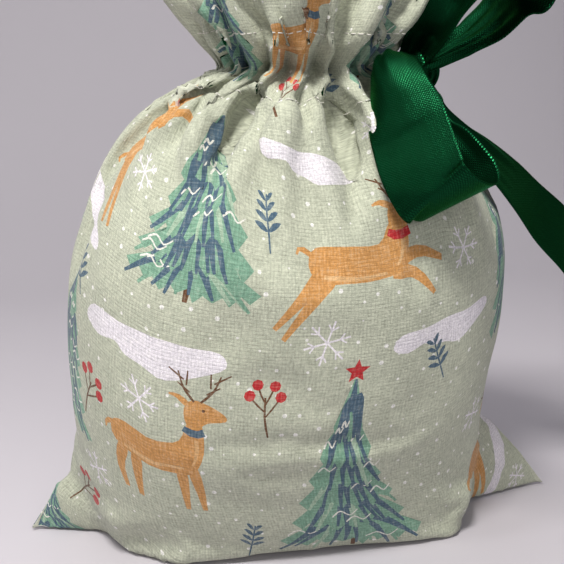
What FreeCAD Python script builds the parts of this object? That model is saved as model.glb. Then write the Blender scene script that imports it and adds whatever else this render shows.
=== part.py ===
"""Drawstring gift pouch: sewn cotton with a gathered neck, a flared frill and a satin ribbon tied in a bow.

Millimetres, +Z up, front towards -Y. The origin is the middle of the base, on the surface that the pouch
stands on. The cloth below the neck is a lofted shell in two halves that meet at the side seams. The neck
holds a ribbon channel between an outer layer and a facing, and the ribbon leaves it through a gap in the
right-hand side seam.
"""

import FreeCAD, Part
import math
import os

import Sketcher
from FreeCAD import Placement, Rotation, Vector

doc = FreeCAD.newDocument("drawstring_pouch")
sheet = doc.addObject("Spreadsheet::Sheet", "sizes")

# Every driving size, in millimetres. The spreadsheet holds them, and every object reads them from there.
SIZES = {
    # cloth
    "cloth_thickness": 1.2,
    "seam_gap": 0.02,
    "gathered_thickness": 1.6,
    "hem_thickness": 1.0,
    # the full pouch, as heights and the half width and half depth of the elliptical section at each
    "base_width": 62.0,
    "base_depth": 31.0,
    "foot_height": 8.0,
    "foot_width": 69.0,
    "foot_depth": 38.0,
    "calf_height": 30.0,
    "calf_width": 71.0,
    "calf_depth": 46.0,
    "belly_height": 70.0,
    "belly_width": 73.0,
    "belly_depth": 50.0,
    "chest_height": 105.0,
    "chest_width": 71.0,
    "chest_depth": 46.0,
    "shoulder_height": 130.0,
    "shoulder_width": 62.0,
    "shoulder_depth": 37.0,
    "collar_height": 144.0,
    "collar_width": 49.0,
    "collar_depth": 29.0,
    # the gathered neck
    "neck_base": 152.0,
    "neck_top": 163.5,
    "neck_width": 27.5,
    "neck_depth": 15.0,
    # the frill above the neck
    "frill_base": 166.5,
    "frill_stitch_height": 171.5,
    "frill_stitch_width": 32.0,
    "frill_stitch_depth": 17.5,
    "frill_flare_height": 178.0,
    "frill_flare_width": 41.0,
    "frill_flare_depth": 24.0,
    "frill_top": 187.0,
    "frill_top_width": 48.0,
    "frill_top_depth": 30.0,
    # the flat corners that stand out past the full pouch
    "ear_reach": 97.0,
    "ear_root": 38.0,
    "ear_root_depth": 27.0,
    "ear_height": 34.0,
    "ear_fold_share": 0.6,
    "ear_top_reach": 69.0,
    # seam allowances and thread
    "allowance_width": 8.0,
    "allowance_slack": 0.1,
    "allowance_thickness": 0.8,
    "allowance_foot_gap": 3.0,
    "allowance_top_gap": 2.0,
    "thread_diameter": 0.4,
    "thread_gap": 0.05,
    "stitch_length": 2.4,
    "stitch_pitch": 3.6,
    "lower_stitch_rise": 0.35,
    "lower_stitch_gap": 0.1,
    "upper_stitch_gap": 0.6,
    "stitch_free_degrees": 7.0,
    "overlock_pitch": 4.0,
    "overlock_foot_gap": 8.0,
    "overlock_end_gap": 4.0,
    "bar_tack_gap": 0.8,
    # ribbon
    "ribbon_width": 25.0,
    "ribbon_thickness": 0.5,
    "channel_ribbon_thickness": 2.4,
    "channel_ribbon_height": 9.0,
    "channel_clearance": 0.3,
    "exit_height": 157.5,
    "exit_gap_height": 9.6,
    "exit_gap_width": 7.0,
    "strand_thickness": 1.2,
    "strand_height": 8.0,
    "strand_gap": 0.2,
    "knot_right": 35.5,
    "knot_front": 9.5,
    "knot_radius": 6.5,
    "knot_clearance": 0.6,
    "gathered_width": 6.0,
    "gathered_length": 22.0,
    "trim_margin": 1.0,
    "lower_loop_length": 60.0,
    "lower_loop_radius": 8.0,
    "upper_loop_length": 62.0,
    "upper_loop_radius": 12.0,
    "loop_root": 1.8,
    "front_tail_radius": 420.0,
    "front_tail_length": 112.0,
    "back_tail_radius": 95.0,
    "back_tail_length": 109.0,
}
for row, (alias, value) in enumerate(SIZES.items(), start=1):
    sheet.set(f"A{row}", alias)
    sheet.set(f"B{row}", str(value))
    sheet.setAlias(f"B{row}", alias)
doc.recompute()

# Each part of the bow leaves the knot along its first direction, with its width along its second.
LOWER_LOOP = ((-0.15, -0.86, -0.49), (0.94, -0.06, -0.28))
UPPER_LOOP = ((0.70, -0.08, 0.71), (0.15, -0.98, -0.10))
FRONT_TAIL = ((0.80, -0.02, -0.60), (0.55, 0.80, 0.25))
BACK_TAIL = ((0.45, 0.87, -0.12), (-0.80, 0.25, 0.50))

PARTS = []
FAR = 400.0  # past every part of the pouch


def size(alias):
    """A size from the sheet, as a number."""
    return float(getattr(sheet, alias))


def keep(piece, label):
    """Names a finished sub-part, whose label is its file's name."""
    piece.Label = label
    PARTS.append(piece)
    return piece


# ---- lofted shells ----


def ellipse(height, width, depth, inset=0.0):
    """A horizontal ellipse whose height and half sizes are sheet expressions, the sizes less an inset."""
    e = doc.addObject("Part::Ellipse", "section")
    shrink = f" - {inset}" if inset else ""
    e.setExpression("MajorRadius", f"({width}){shrink}")
    e.setExpression("MinorRadius", f"({depth}){shrink}")
    e.setExpression("Placement.Base.z", height)
    return e


def loft(sections, inset=0.0, ruled=False):
    """A closed loft through (height, half width, half depth) sections, smooth unless it is ruled."""
    made = doc.addObject("Part::Loft", "loft")
    made.Sections = [ellipse(*s, inset) for s in sections]
    made.Solid = True
    made.Ruled = ruled
    return made


def stage(name, height=None):
    """A section from the sheet's entries for one named stage of the pouch."""
    at = f"sizes.{height or name + '_height'}"
    return (at, f"sizes.{name}_width", f"sizes.{name}_depth")


def box(low, high):
    """A box from its lowest and highest corners."""
    b = doc.addObject("Part::Box", "box")
    b.Length, b.Width, b.Height = (h - l for l, h in zip(low, high, strict=True))
    b.Placement.Base = Vector(*low)
    return b


def boolean(kind, base, tool):
    """A Cut or Common of two objects."""
    made = doc.addObject(f"Part::{kind}", kind.lower())
    made.Base, made.Tool = base, tool
    return made


def half(side):
    """The half space in front of the side seams for side -1, or behind them for 1."""
    seam = size("seam_gap") / 2
    low, high = (-FAR, -seam) if side < 0 else (seam, FAR)
    return box((-FAR, low, -FAR), (FAR, high, FAR))


def halves(whole, labels):
    """Cuts a wall in two at the side seams, and keeps its front and back."""
    for side, label in zip((-1, 1), labels, strict=True):
        keep(boolean("Common", whole, half(side)), label)


BODY_STAGES = [
    ("0", "sizes.base_width", "sizes.base_depth"),
    *[stage(name) for name in ("foot", "calf", "belly", "chest", "shoulder", "collar")],
]
INNER_STAGES = [("sizes.cloth_thickness", "sizes.base_width", "sizes.base_depth"), *BODY_STAGES[1:]]
NECK_STAGES = [stage("collar"), stage("neck", "neck_base"), stage("neck", "neck_top")]
FRILL_STAGES = [
    ("sizes.frill_base", "sizes.neck_width", "sizes.neck_depth"),
    stage("frill_stitch"),
    stage("frill_flare"),
    stage("frill_top", "frill_top"),
]


def ear(side, hand):
    """One layer of a flat corner: cloth from the pouch's foot out to the corner and up to the side seam."""
    thick, depth, height = size("cloth_thickness"), size("ear_root_depth"), size("ear_height")
    corner = Vector(hand * size("ear_reach"), 0, 0)
    root = Vector(hand * size("ear_root"), side * depth, 0)
    inner = Vector(hand * size("ear_root"), side * depth * size("ear_fold_share"), height)
    top = Vector(hand * size("ear_top_reach"), side * thick / 2, height)
    layers = [Part.Face(Part.makePolygon([corner, p, q, corner])) for p, q in ((root, inner), (inner, top))]
    inwards = Vector(0, -side * thick, 0)
    piece = doc.addObject("Part::Feature", "ear")
    piece.Shape = layers[0].extrude(inwards).fuse(layers[1].extrude(inwards))
    return piece


def make_panels():
    """The cloth of each side, from the base up to the lower casing stitches, with its flat corners."""
    outside = doc.addObject("Part::MultiFuse", "panels_outside")
    outside.Shapes = [loft(BODY_STAGES), *[ear(side, hand) for side in (-1, 1) for hand in (-1, 1)]]
    hollow = boolean("Cut", outside, loft(INNER_STAGES, "sizes.cloth_thickness"))
    halves(hollow, ("front_panel", "back_panel"))


def ring(sections, outer, inner, ruled=False):
    """The wall between two insets of the same sections."""
    return boolean("Cut", loft(sections, outer, ruled), loft(sections, inner, ruled))


def exit_gap():
    """The gap in the right-hand side seam that the ribbon leaves through."""
    tall, wide = size("exit_gap_height"), size("exit_gap_width")
    bottom = size("exit_height") - tall / 2
    return box((size("neck_width") / 2, -wide / 2, bottom), (FAR, wide / 2, bottom + tall))


def make_casings():
    """The outer layer of the ribbon channel round the gathered neck."""
    wall = ring(NECK_STAGES, 0.0, "sizes.gathered_thickness", ruled=True)
    halves(boolean("Cut", wall, exit_gap()), ("front_casing", "back_casing"))


def make_facings():
    """The folded-under inner layer of the ribbon channel."""
    outer = "(sizes.gathered_thickness + 2 * sizes.channel_clearance + sizes.channel_ribbon_thickness)"
    wall = ring(NECK_STAGES[1:], outer, f"({outer} + sizes.gathered_thickness)", ruled=True)
    halves(wall, ("front_casing_facing", "back_casing_facing"))


def make_frills():
    """The hemmed frill that flares above the neck."""
    halves(ring(FRILL_STAGES, 0.0, "sizes.hem_thickness"), ("front_frill", "back_frill"))


def make_channel_ribbon():
    """The length of ribbon gathered inside the channel, all the way round the neck."""
    middle, tall = "sizes.exit_height", "sizes.channel_ribbon_height"
    sections = [(f"{middle} {sign} {tall} / 2", "sizes.neck_width", "sizes.neck_depth") for sign in "-+"]
    outer = "(sizes.gathered_thickness + sizes.channel_clearance)"
    keep(ring(sections, outer, f"({outer} + sizes.channel_ribbon_thickness)"), "ribbon_in_casing")


# ---- seam allowances and thread ----


def make_side_allowances():
    """Strips of doubled, overlocked cloth that stand inwards from the side seams."""
    slack, flat = size("allowance_slack"), size("allowance_thickness") / 2
    outer = "(sizes.cloth_thickness + sizes.allowance_slack)"
    band = ring(INNER_STAGES, outer, f"({outer} + sizes.allowance_width)")
    rise = size("allowance_width") + size("allowance_foot_gap")
    top = size("collar_height") - size("allowance_top_gap")
    for hand, word in ((-1, "left"), (1, "right")):
        near, far = sorted((hand * size("collar_width") / 2, hand * FAR))
        strip = boolean("Common", band, box((near, -flat, rise), (far, flat, top)))
        keep(strip, f"{word}_seam_allowance")


def make_bottom_allowance():
    """The strip of doubled, overlocked cloth that stands up from the bottom seam, inside."""
    flat, low = size("allowance_thickness") / 2, size("cloth_thickness") + size("allowance_slack")
    reach = size("base_width") - size("allowance_width")
    keep(box((-reach, -flat, low), (reach, flat, low + size("allowance_width"))), "bottom_seam_allowance")


def stitch(middle, along):
    """One straight stitch of thread."""
    length = size("stitch_length")
    start = middle - along * (length / 2)
    return Part.makeCylinder(size("thread_diameter") / 2, length, start, along)


def make_stitch_row(stage_name, height, gap, side, label):
    """A row of separate stitches on the outside of the cloth, a gap away from one section of a loft."""
    a, b = size(f"{stage_name}_width") + gap, size(f"{stage_name}_depth") + gap
    around = math.pi * (3 * (a + b) - math.sqrt((3 * a + b) * (a + 3 * b))) / 2
    count = int(around / size("stitch_pitch"))
    clear = math.radians(size("stitch_free_degrees"))
    stitches = []
    for i in range(count):
        turn = side * (clear + (math.pi - 2 * clear) * (i + 0.5) / count)
        middle = Vector(a * math.cos(turn), b * math.sin(turn), height)
        along = Vector(-a * math.sin(turn), b * math.cos(turn), 0).normalize()
        stitches.append(stitch(middle, along))
    row = doc.addObject("Part::Feature", "stitches")
    row.Shape = Part.makeCompound(stitches)
    return keep(row, label)


def make_overlock(points, across, label):
    """Short bars of overlocking thread along the edge of a seam allowance."""
    bars = doc.addObject("Part::Feature", "overlock")
    bars.Shape = Part.makeCompound([stitch(p, across) for p in points])
    return keep(bars, label)


def beside_allowance():
    """How far the bars stand from the middle of a seam allowance."""
    return (size("allowance_thickness") + size("thread_diameter")) / 2 + size("thread_gap")


def side_overlock_points(hand):
    """Where the bars lie on a side allowance, a little in from its inner edge."""
    names = ("foot", "calf", "belly", "chest", "shoulder")
    stations = [(size(f"{name}_height"), size(f"{name}_width")) for name in names]
    points = []
    z = size("allowance_width") + size("overlock_foot_gap")
    while z < size("shoulder_height"):
        below = max(s for s in stations if s[0] <= z)
        above = min(s for s in stations if s[0] > z)
        share = (z - below[0]) / (above[0] - below[0])
        wall = below[1] + share * (above[1] - below[1])
        points.append(Vector(hand * (wall - size("allowance_width") / 2), beside_allowance(), z))
        z += size("overlock_pitch")
    return points


def bottom_overlock_points():
    """Where the bars lie on the bottom allowance, half way up it."""
    reach = size("base_width") - size("allowance_width") - size("overlock_end_gap")
    count = int(2 * reach / size("overlock_pitch"))
    height = size("cloth_thickness") + size("allowance_width") / 2
    return [Vector(-reach + 2 * reach * i / (count - 1), beside_allowance(), height) for i in range(count)]


def make_bar_tacks():
    """Two bars of thread that stop the side seam from opening above and below the ribbon's gap."""
    out = size("neck_width") + size("thread_diameter") / 2 + size("thread_gap")
    bars = []
    for sign in (-1, 1):
        z = size("exit_height") + sign * (size("exit_gap_height") / 2 + size("bar_tack_gap"))
        bars.append(stitch(Vector(out, 0, z), Vector(0, 1, 0)))
    tacks = doc.addObject("Part::Feature", "bar_tacks")
    tacks.Shape = Part.makeCompound(bars)
    return keep(tacks, "casing_gap_bar_tacks")


# ---- ribbon ----


def facing_frame(along, width):
    """A placement at the knot whose X runs along the ribbon and whose Y is its width, squared up to X."""
    x = Vector(*along).normalize()
    y = (Vector(*width) - x * x.dot(Vector(*width))).normalize()
    z = x.cross(y)
    return Placement(KNOT, Rotation(x, y, z, "XYZ"))


def origin_plane(body, role):
    """One of a body's own origin planes."""
    return next(o for o in body.Origin.OriginFeatures if o.Role == role)


def profile_sketch(body):
    """The sketch that a ribbon's edge-on outline is drawn in."""
    sketch = body.newObject("Sketcher::SketchObject", "profile")
    sketch.AttachmentSupport = (origin_plane(body, "XZ_Plane"), "")
    sketch.MapMode = "FlatFace"
    return sketch


def pad_ribbon_width(body, sketch):
    """Pads a ribbon's edge-on outline to its width, and trims it to where it is gathered into the knot."""
    pad = body.newObject("PartDesign::Pad", "ribbon")
    pad.Profile = sketch
    pad.setExpression("Length", "sizes.ribbon_width")
    pad.Midplane = True
    trim = body.newObject("Sketcher::SketchObject", "trim")
    trim.AttachmentSupport = (origin_plane(body, "XY_Plane"), "")
    trim.MapMode = "FlatFace"
    start, narrow = size("knot_radius"), size("gathered_width") / 2
    full, over = size("gathered_length"), size("ribbon_width") / 2 + size("trim_margin")
    for sign in (-1, 1):
        outline = ((start, narrow), (full, over), (start, over))
        corners = [Vector(x, sign * y, 0) for x, y in outline]
        first = len(trim.Geometry)
        edges = [Part.LineSegment(corners[i], corners[(i + 1) % 3]) for i in range(3)]
        trim.addGeometry(edges, False)
        for i in range(3):
            joined = (first + i, 2, first + (i + 1) % 3, 1)
            trim.addConstraint(Sketcher.Constraint("Coincident", *joined))
    pocket = body.newObject("PartDesign::Pocket", "gathers")
    pocket.Profile = trim
    pocket.Length = FAR
    pocket.Midplane = True


def add_teardrop(sketch, length, radius, root, inset):
    """A closed teardrop: two straight legs from a narrow root, joined by a round end."""
    l, r, h = size(length) - inset, size(radius) - inset, size(root) - inset
    x0, centre = size("knot_radius") + size("knot_clearance") + inset, l - r
    slope = math.asin(min(0.99, (r - h) / (centre - x0)))
    top = Vector(centre - r * math.sin(slope), r * math.cos(slope), 0)
    low = Vector(top.x, -top.y, 0)
    near_top, near_low = Vector(x0, h, 0), Vector(x0, -h, 0)
    end = math.atan2(top.y, top.x - centre)
    start = len(sketch.Geometry)
    sketch.addGeometry(
        [
            Part.LineSegment(near_low, low),
            Part.ArcOfCircle(Part.Circle(Vector(centre, 0, 0), Vector(0, 0, 1), r), -end, end),
            Part.LineSegment(top, near_top),
            Part.LineSegment(near_top, near_low),
        ],
        False,
    )
    a, b, c, d = range(start, start + 4)
    for first, point, second, other in ((a, 2, b, 1), (b, 2, c, 1)):
        sketch.addConstraint(Sketcher.Constraint("Tangent", first, point, second, other))
    for first, point, second, other in ((c, 2, d, 1), (d, 2, a, 1)):
        sketch.addConstraint(Sketcher.Constraint("Coincident", first, point, second, other))
    trim = f" - {inset}" if inset else ""
    named = [
        ("radius", Sketcher.Constraint("Radius", b, r), f"sizes.{radius}{trim}"),
        ("reach", Sketcher.Constraint("DistanceX", -1, 1, b, 3, centre), f"sizes.{length} - sizes.{radius}"),
        ("root", Sketcher.Constraint("DistanceX", -1, 1, d, 1, x0), None),
        ("gape", Sketcher.Constraint("DistanceY", d, 2, d, 1, 2 * h), None),
    ]
    sketch.addConstraint(Sketcher.Constraint("PointOnObject", b, 3, -1))
    sketch.addConstraint(Sketcher.Constraint("Symmetric", d, 1, d, 2, -1))
    for name, constraint, expression in named:
        number = sketch.addConstraint(constraint)
        sketch.renameConstraint(number, f"{name}{start}")
        if expression:
            sketch.setExpression(f"Constraints.{name}{start}", expression)


def make_loop(length, radius, along, width, label):
    """A bow loop: a teardrop ring of ribbon, padded to the ribbon's width."""
    body = doc.addObject("PartDesign::Body", label)
    sketch = profile_sketch(body)
    for inset in (0.0, size("ribbon_thickness")):
        add_teardrop(sketch, length, radius, "loop_root", inset)
    pad_ribbon_width(body, sketch)
    body.Placement = facing_frame(along, width)
    return keep(body, label)


def make_tail(radius, length, along, width, label):
    """A tail of the bow: a strip of ribbon that curves downwards, from beside the knot to its cut end."""
    body = doc.addObject("PartDesign::Body", label)
    sketch = profile_sketch(body)
    r, t = size(radius), size("ribbon_thickness")
    start = (size("knot_radius") + size("knot_clearance")) / r
    first, last = math.pi / 2 - start, math.pi / 2 - size(length) / r
    centre = Vector(0, -r, 0)

    def at(radius_mm, angle):
        return centre + Vector(radius_mm * math.cos(angle), radius_mm * math.sin(angle), 0)

    up = Vector(0, 0, 1)
    sketch.addGeometry(
        [
            Part.ArcOfCircle(Part.Circle(centre, up, r), last, first),
            Part.LineSegment(at(r, first), at(r - t, first)),
            Part.ArcOfCircle(Part.Circle(centre, up, r - t), last, first),
            Part.LineSegment(at(r - t, last), at(r, last)),
        ],
        False,
    )
    for pair in ((0, 2, 1, 1), (1, 2, 2, 2), (2, 1, 3, 1), (3, 2, 0, 1), (0, 3, 2, 3)):
        sketch.addConstraint(Sketcher.Constraint("Coincident", *pair))
    number = sketch.addConstraint(Sketcher.Constraint("Radius", 0, r))
    sketch.renameConstraint(number, "outside")
    sketch.setExpression("Constraints.outside", f"sizes.{radius}")
    number = sketch.addConstraint(Sketcher.Constraint("Radius", 2, r - t))
    sketch.renameConstraint(number, "inside")
    sketch.setExpression("Constraints.inside", f"sizes.{radius} - sizes.ribbon_thickness")
    pad_ribbon_width(body, sketch)
    body.Placement = facing_frame(along, width)
    return keep(body, label)


def make_knot():
    """The knot of the bow, as the ball that its wraps fill."""
    ball = doc.addObject("Part::Sphere", "knot")
    ball.setExpression("Radius", "sizes.knot_radius")
    ball.Placement.Base = KNOT
    return keep(ball, "ribbon_knot")


def make_strands():
    """The two ends of ribbon between the channel and the knot, side by side."""
    thick, tall = size("strand_thickness"), size("strand_height")
    start = Vector(size("neck_width") - size("gathered_thickness") + thick, 0, size("exit_height"))
    out = (KNOT - start).normalize()
    length = (KNOT - start).Length - size("knot_radius") - size("knot_clearance")
    turn = Rotation(Vector(1, 0, 0), out)
    strands = []
    for sign in (-1, 1):
        strand = doc.addObject("Part::Box", "strand")
        strand.Length, strand.Width, strand.Height = length, thick, tall
        corner = Vector(0, sign * (thick + size("strand_gap")) / 2 - thick / 2, -tall / 2)
        strand.Placement = Placement(start + turn.multVec(corner), turn)
        strands.append(strand)
    pair = doc.addObject("Part::Compound", "strands")
    pair.Links = strands
    return keep(pair, "ribbon_exit_strands")


# The ribbon leaves the gap in the right-hand side seam and turns a little forwards, into the knot.
KNOT = Vector(size("knot_right"), -size("knot_front"), size("exit_height"))

make_panels()
make_casings()
make_facings()
make_frills()
casing_rows = (
    ("lower", "collar", size("collar_height") + size("lower_stitch_rise")),
    ("upper", "frill_stitch", size("frill_stitch_height")),
)
for side, word in ((-1, "front"), (1, "back")):
    for row, stage_name, height in casing_rows:
        gap = size(f"{row}_stitch_gap")
        make_stitch_row(stage_name, height, gap, side, f"{word}_{row}_casing_stitches")

make_side_allowances()
for hand, word in ((-1, "left"), (1, "right")):
    make_overlock(side_overlock_points(hand), Vector(1, 0, 0), f"{word}_seam_overlock_thread")
make_bottom_allowance()
make_overlock(bottom_overlock_points(), Vector(0, 0, 1), "bottom_seam_overlock_thread")
make_bar_tacks()

make_channel_ribbon()
make_strands()
make_knot()
make_loop("lower_loop_length", "lower_loop_radius", *LOWER_LOOP, "ribbon_lower_loop")
make_loop("upper_loop_length", "upper_loop_radius", *UPPER_LOOP, "ribbon_upper_loop")
make_tail("front_tail_radius", "front_tail_length", *FRONT_TAIL, "ribbon_front_tail")
make_tail("back_tail_radius", "back_tail_length", *BACK_TAIL, "ribbon_back_tail")

doc.recompute()
failed = [o.Label for o in doc.Objects if "Invalid" in o.State or "Error" in o.State]
if failed:
    raise SystemExit(f"these objects failed to build: {failed}")
for piece in PARTS:
    if piece.Shape.isNull() or not piece.Shape.isValid() or not piece.Shape.Solids:
        raise SystemExit(f"{piece.Label} has no valid solid")
os.makedirs("parts", exist_ok=True)
for piece in PARTS:
    piece.Shape.exportStep(f"parts/{piece.Label}.step")
    print(piece.Label, len(piece.Shape.Solids), "solids", round(piece.Shape.Volume, 1), "mm3")
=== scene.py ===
"""The looks of a drawstring gift pouch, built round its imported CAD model.

Each cotton panel is a flat cut with its own coordinates in millimetres: u runs across it, to the right as the
front panel is seen, and v runs up from the bottom seam. One cloth simulation shapes both panels together, and
the print, the stitches, the casing and the ribbon inside it are then laid out in u and v on that shape.
"""

import math
import random

import bpy
import numpy as np
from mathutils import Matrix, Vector
from mathutils.geometry import delaunay_2d_cdt


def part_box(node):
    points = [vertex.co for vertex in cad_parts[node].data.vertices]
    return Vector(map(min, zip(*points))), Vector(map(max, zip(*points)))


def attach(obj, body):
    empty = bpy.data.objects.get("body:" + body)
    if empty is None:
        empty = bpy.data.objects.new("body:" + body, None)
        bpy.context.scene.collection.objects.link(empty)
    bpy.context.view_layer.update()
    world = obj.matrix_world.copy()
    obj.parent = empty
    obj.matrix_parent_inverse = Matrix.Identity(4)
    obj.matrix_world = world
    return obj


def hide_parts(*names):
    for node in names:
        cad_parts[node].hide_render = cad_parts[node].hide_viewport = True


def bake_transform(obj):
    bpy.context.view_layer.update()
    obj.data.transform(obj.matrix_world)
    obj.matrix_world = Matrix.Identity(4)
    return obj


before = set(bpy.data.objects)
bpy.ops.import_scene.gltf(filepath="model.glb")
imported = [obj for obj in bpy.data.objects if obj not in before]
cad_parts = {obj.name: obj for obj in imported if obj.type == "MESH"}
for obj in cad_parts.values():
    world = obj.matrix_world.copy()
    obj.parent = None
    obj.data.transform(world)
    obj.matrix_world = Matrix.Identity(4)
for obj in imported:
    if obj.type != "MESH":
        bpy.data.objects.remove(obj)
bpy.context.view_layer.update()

MM = 0.001
SEED = 20

# ---- sizes of the cut cloth, in millimetres ----
PANEL_HALF = 97.5
PANEL_HEIGHT = 232.0
HEM_TURN = 44.0  # how far the top of the cut is folded down inside, as the casing's facing
CUT_HEIGHT = PANEL_HEIGHT + HEM_TURN
CINCH = 203.0  # v where the ribbon draws the cloth in
LOWER_ROW, UPPER_ROW = 188.0, 218.0  # v of the two rows of casing stitches
CLOTH = 0.4
RIBBON_WIDTH = 25.0
RIBBON_IN_CHANNEL = 300.0  # drawn up shorter than the channel, which is gathered along it
FRONT, BACK = -1, 1


def knot_centre():
    """The middle of the CAD knot, in millimetres."""
    low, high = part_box("ribbon_knot")
    return (np.array(low) + np.array(high)) / 2 / MM


KNOT = knot_centre()
NECK_HEIGHT = KNOT[2]
NECK_HALF_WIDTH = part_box("front_casing_facing")[1][0] / MM + 4.6
NECK_HALF_DEPTH = -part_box("front_casing_facing")[0][1] / MM + 4.6

# The outside of the full pouch: height, half width, half depth and how far its middle lies to the right.
BODY = (
    (0, 60, 31, -2),
    (8, 67, 38, -5),
    (17, 71, 42, -6.5),
    (30, 73, 46, -7),
    (48, 74, 49, -7),
    (73, 76, 50.5, -4.5),
    (94, 75, 50, -3),
    (112, 71, 45.5, -2),
    (122, 67, 41, -2.5),
    (133, 61, 35.5, -4),
    (141, 54.5, 30.5, -4.5),
    (148.5, 46, 25.5, -4.5),
    (NECK_HEIGHT - 4, 39, 21.5, -2.5),
    (NECK_HEIGHT, NECK_HALF_WIDTH, NECK_HALF_DEPTH, 0),
)
FRILL = (
    (NECK_HEIGHT, NECK_HALF_WIDTH, NECK_HALF_DEPTH, 0),
    (NECK_HEIGHT + 3, 29.5, 18.5, 0),
    (NECK_HEIGHT + 8, 34, 25, 0),
    (NECK_HEIGHT + 15, 40, 29, 1),
    (NECK_HEIGHT + 23.5, 46.5, 32, 2),
)
# What the pouch is filled with, and the cloth rests on.
CONTENTS = (
    (1, 50, 26),
    (4, 58, 31),
    (12, 65, 37),
    (30, 69, 42),
    (60, 71, 46.5),
    (90, 70, 45.5),
    (110, 65, 40),
    (122, 59, 34),
    (132, 51, 27),
    (141, 38, 17),
    (147, 20, 7),
    (149, 3, 2),
)
# Where the cloth folds inwards, as shares of a panel's width from its right seam: at the neck, at the
# shoulder and below it.
VALLEYS = {
    FRONT: (
        (0.05, 0.13, 0.235, 0.285, 0.40, 0.475, 0.61, 0.70, 0.81, 0.865, 0.955),
        (0.09, 0.27, 0.42, 0.67, 0.79, 0.92),
        (0.12, 0.28, 0.67, 0.90),
    ),
    BACK: (
        (0.05, 0.13, 0.24, 0.31, 0.42, 0.52, 0.58, 0.68, 0.78, 0.88, 0.95),
        (0.09, 0.24, 0.42, 0.58, 0.73, 0.90),
        (0.12, 0.42, 0.66, 0.90),
    ),
}
# The flattened corners at the bottom seam: where each one's crease lies at the floor and at its top, how high
# that is, and the seam's outline beyond it, as (height, distance from the middle).
CORNERS = {
    -1: ((65, 76, 26), ((0, 97), (9, 91.5), (17.5, 87), (20.5, 82), (30, 80.5), (40, 80.5))),
    1: ((53, 63, 36), ((0, 97), (15, 86), (26, 76), (33, 68), (40, 66), (50, 67))),
}


# Sharp creases that run from the neck, and up the frill: each is a line of (u, v, depth).
CREASE_WIDTH = 3.3
CREASES = {
    FRONT: (
        ((-24, 198, 3), (-29, 186, 9.5), (-34, 174, 8), (-38, 152, 0)),
        ((20, 198, 3), (20, 186, 10), (17, 171, 9), (9, 146, 0)),
        ((-50, 194, 3), (-60, 186, 5), (-74, 177, 4), (-90, 168, 0)),
        ((-68, 194, 2), (-80, 189, 3.5), (-94, 184, 1.5)),
        ((-40, 197, 2), (-48, 183, 6), (-60, 162, 0)),
        ((-2, 198, 2), (0, 187, 5), (1, 177, 0)),
        ((-13, 198, 1.5), (-15, 189, 4), (-18, 181, 0)),
        ((33, 198, 3), (41, 185, 7.5), (46, 168, 5), (43, 144, 0)),
        ((50, 198, 2), (61, 187, 5), (72, 166, 0)),
        ((72, 197, 2), (82, 187, 4), (92, 168, 0)),
        ((-30, 210, 2), (-36, 219, 3.6), (-44, 233, 3)),
        ((-8, 210, 3), (-10, 219, 4.4), (-6, 231, 0)),
        ((14, 210, 2), (16, 220, 4.2), (22, 233, 3)),
        ((40, 210, 2), (47, 221, 3.6), (60, 233, 2)),
        ((-64, 210, 2), (-73, 221, 3.2), (-82, 233, 2)),
    ),
    BACK: (
        ((-32, 198, 3), (-37, 186, 7), (-42, 171, 4), (-46, 154, 0)),
        ((24, 198, 3), (27, 185, 6.5), (33, 169, 4), (38, 150, 0)),
        ((-58, 197, 2), (-70, 187, 4.5), (-84, 168, 0)),
        ((50, 197, 2), (62, 188, 5), (80, 176, 0)),
        ((4, 198, 2), (2, 187, 5), (-3, 172, 0)),
        ((-14, 198, 1.5), (-17, 187, 4), (-22, 177, 0)),
        ((74, 197, 2), (83, 188, 3.6), (91, 174, 0)),
        ((-24, 210, 2), (-28, 220, 3.6), (-34, 233, 2)),
        ((12, 210, 2), (12, 220, 4), (8, 233, 1)),
        ((46, 210, 2), (54, 220, 3.6), (64, 233, 2)),
        ((-66, 210, 2), (-74, 220, 3.2), (-82, 233, 2)),
    ),
}


# ---- curves ----


def smooth_step(x):
    """From 0 to 1, flat at both ends."""
    x = np.clip(x, 0, 1)
    return x * x * (3 - 2 * x)


def smooth_table(x, table, column):
    """A smooth curve through one column of a table, that never overshoots its entries."""
    xs = np.array([row[0] for row in table], float)
    ys = np.array([row[column] for row in table], float)
    run = np.diff(xs)
    slope = np.diff(ys) / run
    tangent = np.r_[slope[0], np.zeros(len(slope) - 1), slope[-1]]
    for k in range(1, len(slope)):
        if slope[k - 1] * slope[k] > 0:
            tangent[k] = 2 * slope[k - 1] * slope[k] / (slope[k - 1] + slope[k])
    x = np.clip(x, xs[0], xs[-1])
    k = np.clip(np.searchsorted(xs, x, side="right") - 1, 0, len(run) - 1)
    f = (x - xs[k]) / run[k]
    rise = 3 * f**2 - 2 * f**3
    start, end = f * (1 - f) ** 2, f**2 * (f - 1)
    return ys[k] * (1 - rise) + ys[k + 1] * rise + run[k] * (tangent[k] * start + tangent[k + 1] * end)


def cubic_weights(f):
    """The weights of four evenly spaced points for a smooth curve between the middle two."""
    return (
        -0.5 * f + f**2 - 0.5 * f**3,
        1 - 2.5 * f**2 + 1.5 * f**3,
        0.5 * f + 2 * f**2 - 1.5 * f**3,
        -0.5 * f**2 + 0.5 * f**3,
    )


def smooth_line(points, count, closed=False):
    """A smooth line through some points, with count points."""
    given = np.array(points, float)
    if closed:
        given = np.concatenate([given[-1:], given, given[:2]])
        spans = len(points)
    else:
        given = np.concatenate([2 * given[:1] - given[1:2], given, 2 * given[-1:] - given[-2:-1]])
        spans = len(points) - 1
    at = np.linspace(0, spans, count, endpoint=not closed)
    k = np.clip(at.astype(int), 0, spans - 1)
    weights = cubic_weights(at - k)
    return sum(w[:, None] * given[k + n] for n, w in enumerate(weights))


def unit(vectors):
    """The same directions, one long."""
    return vectors / np.maximum(np.linalg.norm(vectors, axis=-1, keepdims=True), 1e-9)


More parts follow.
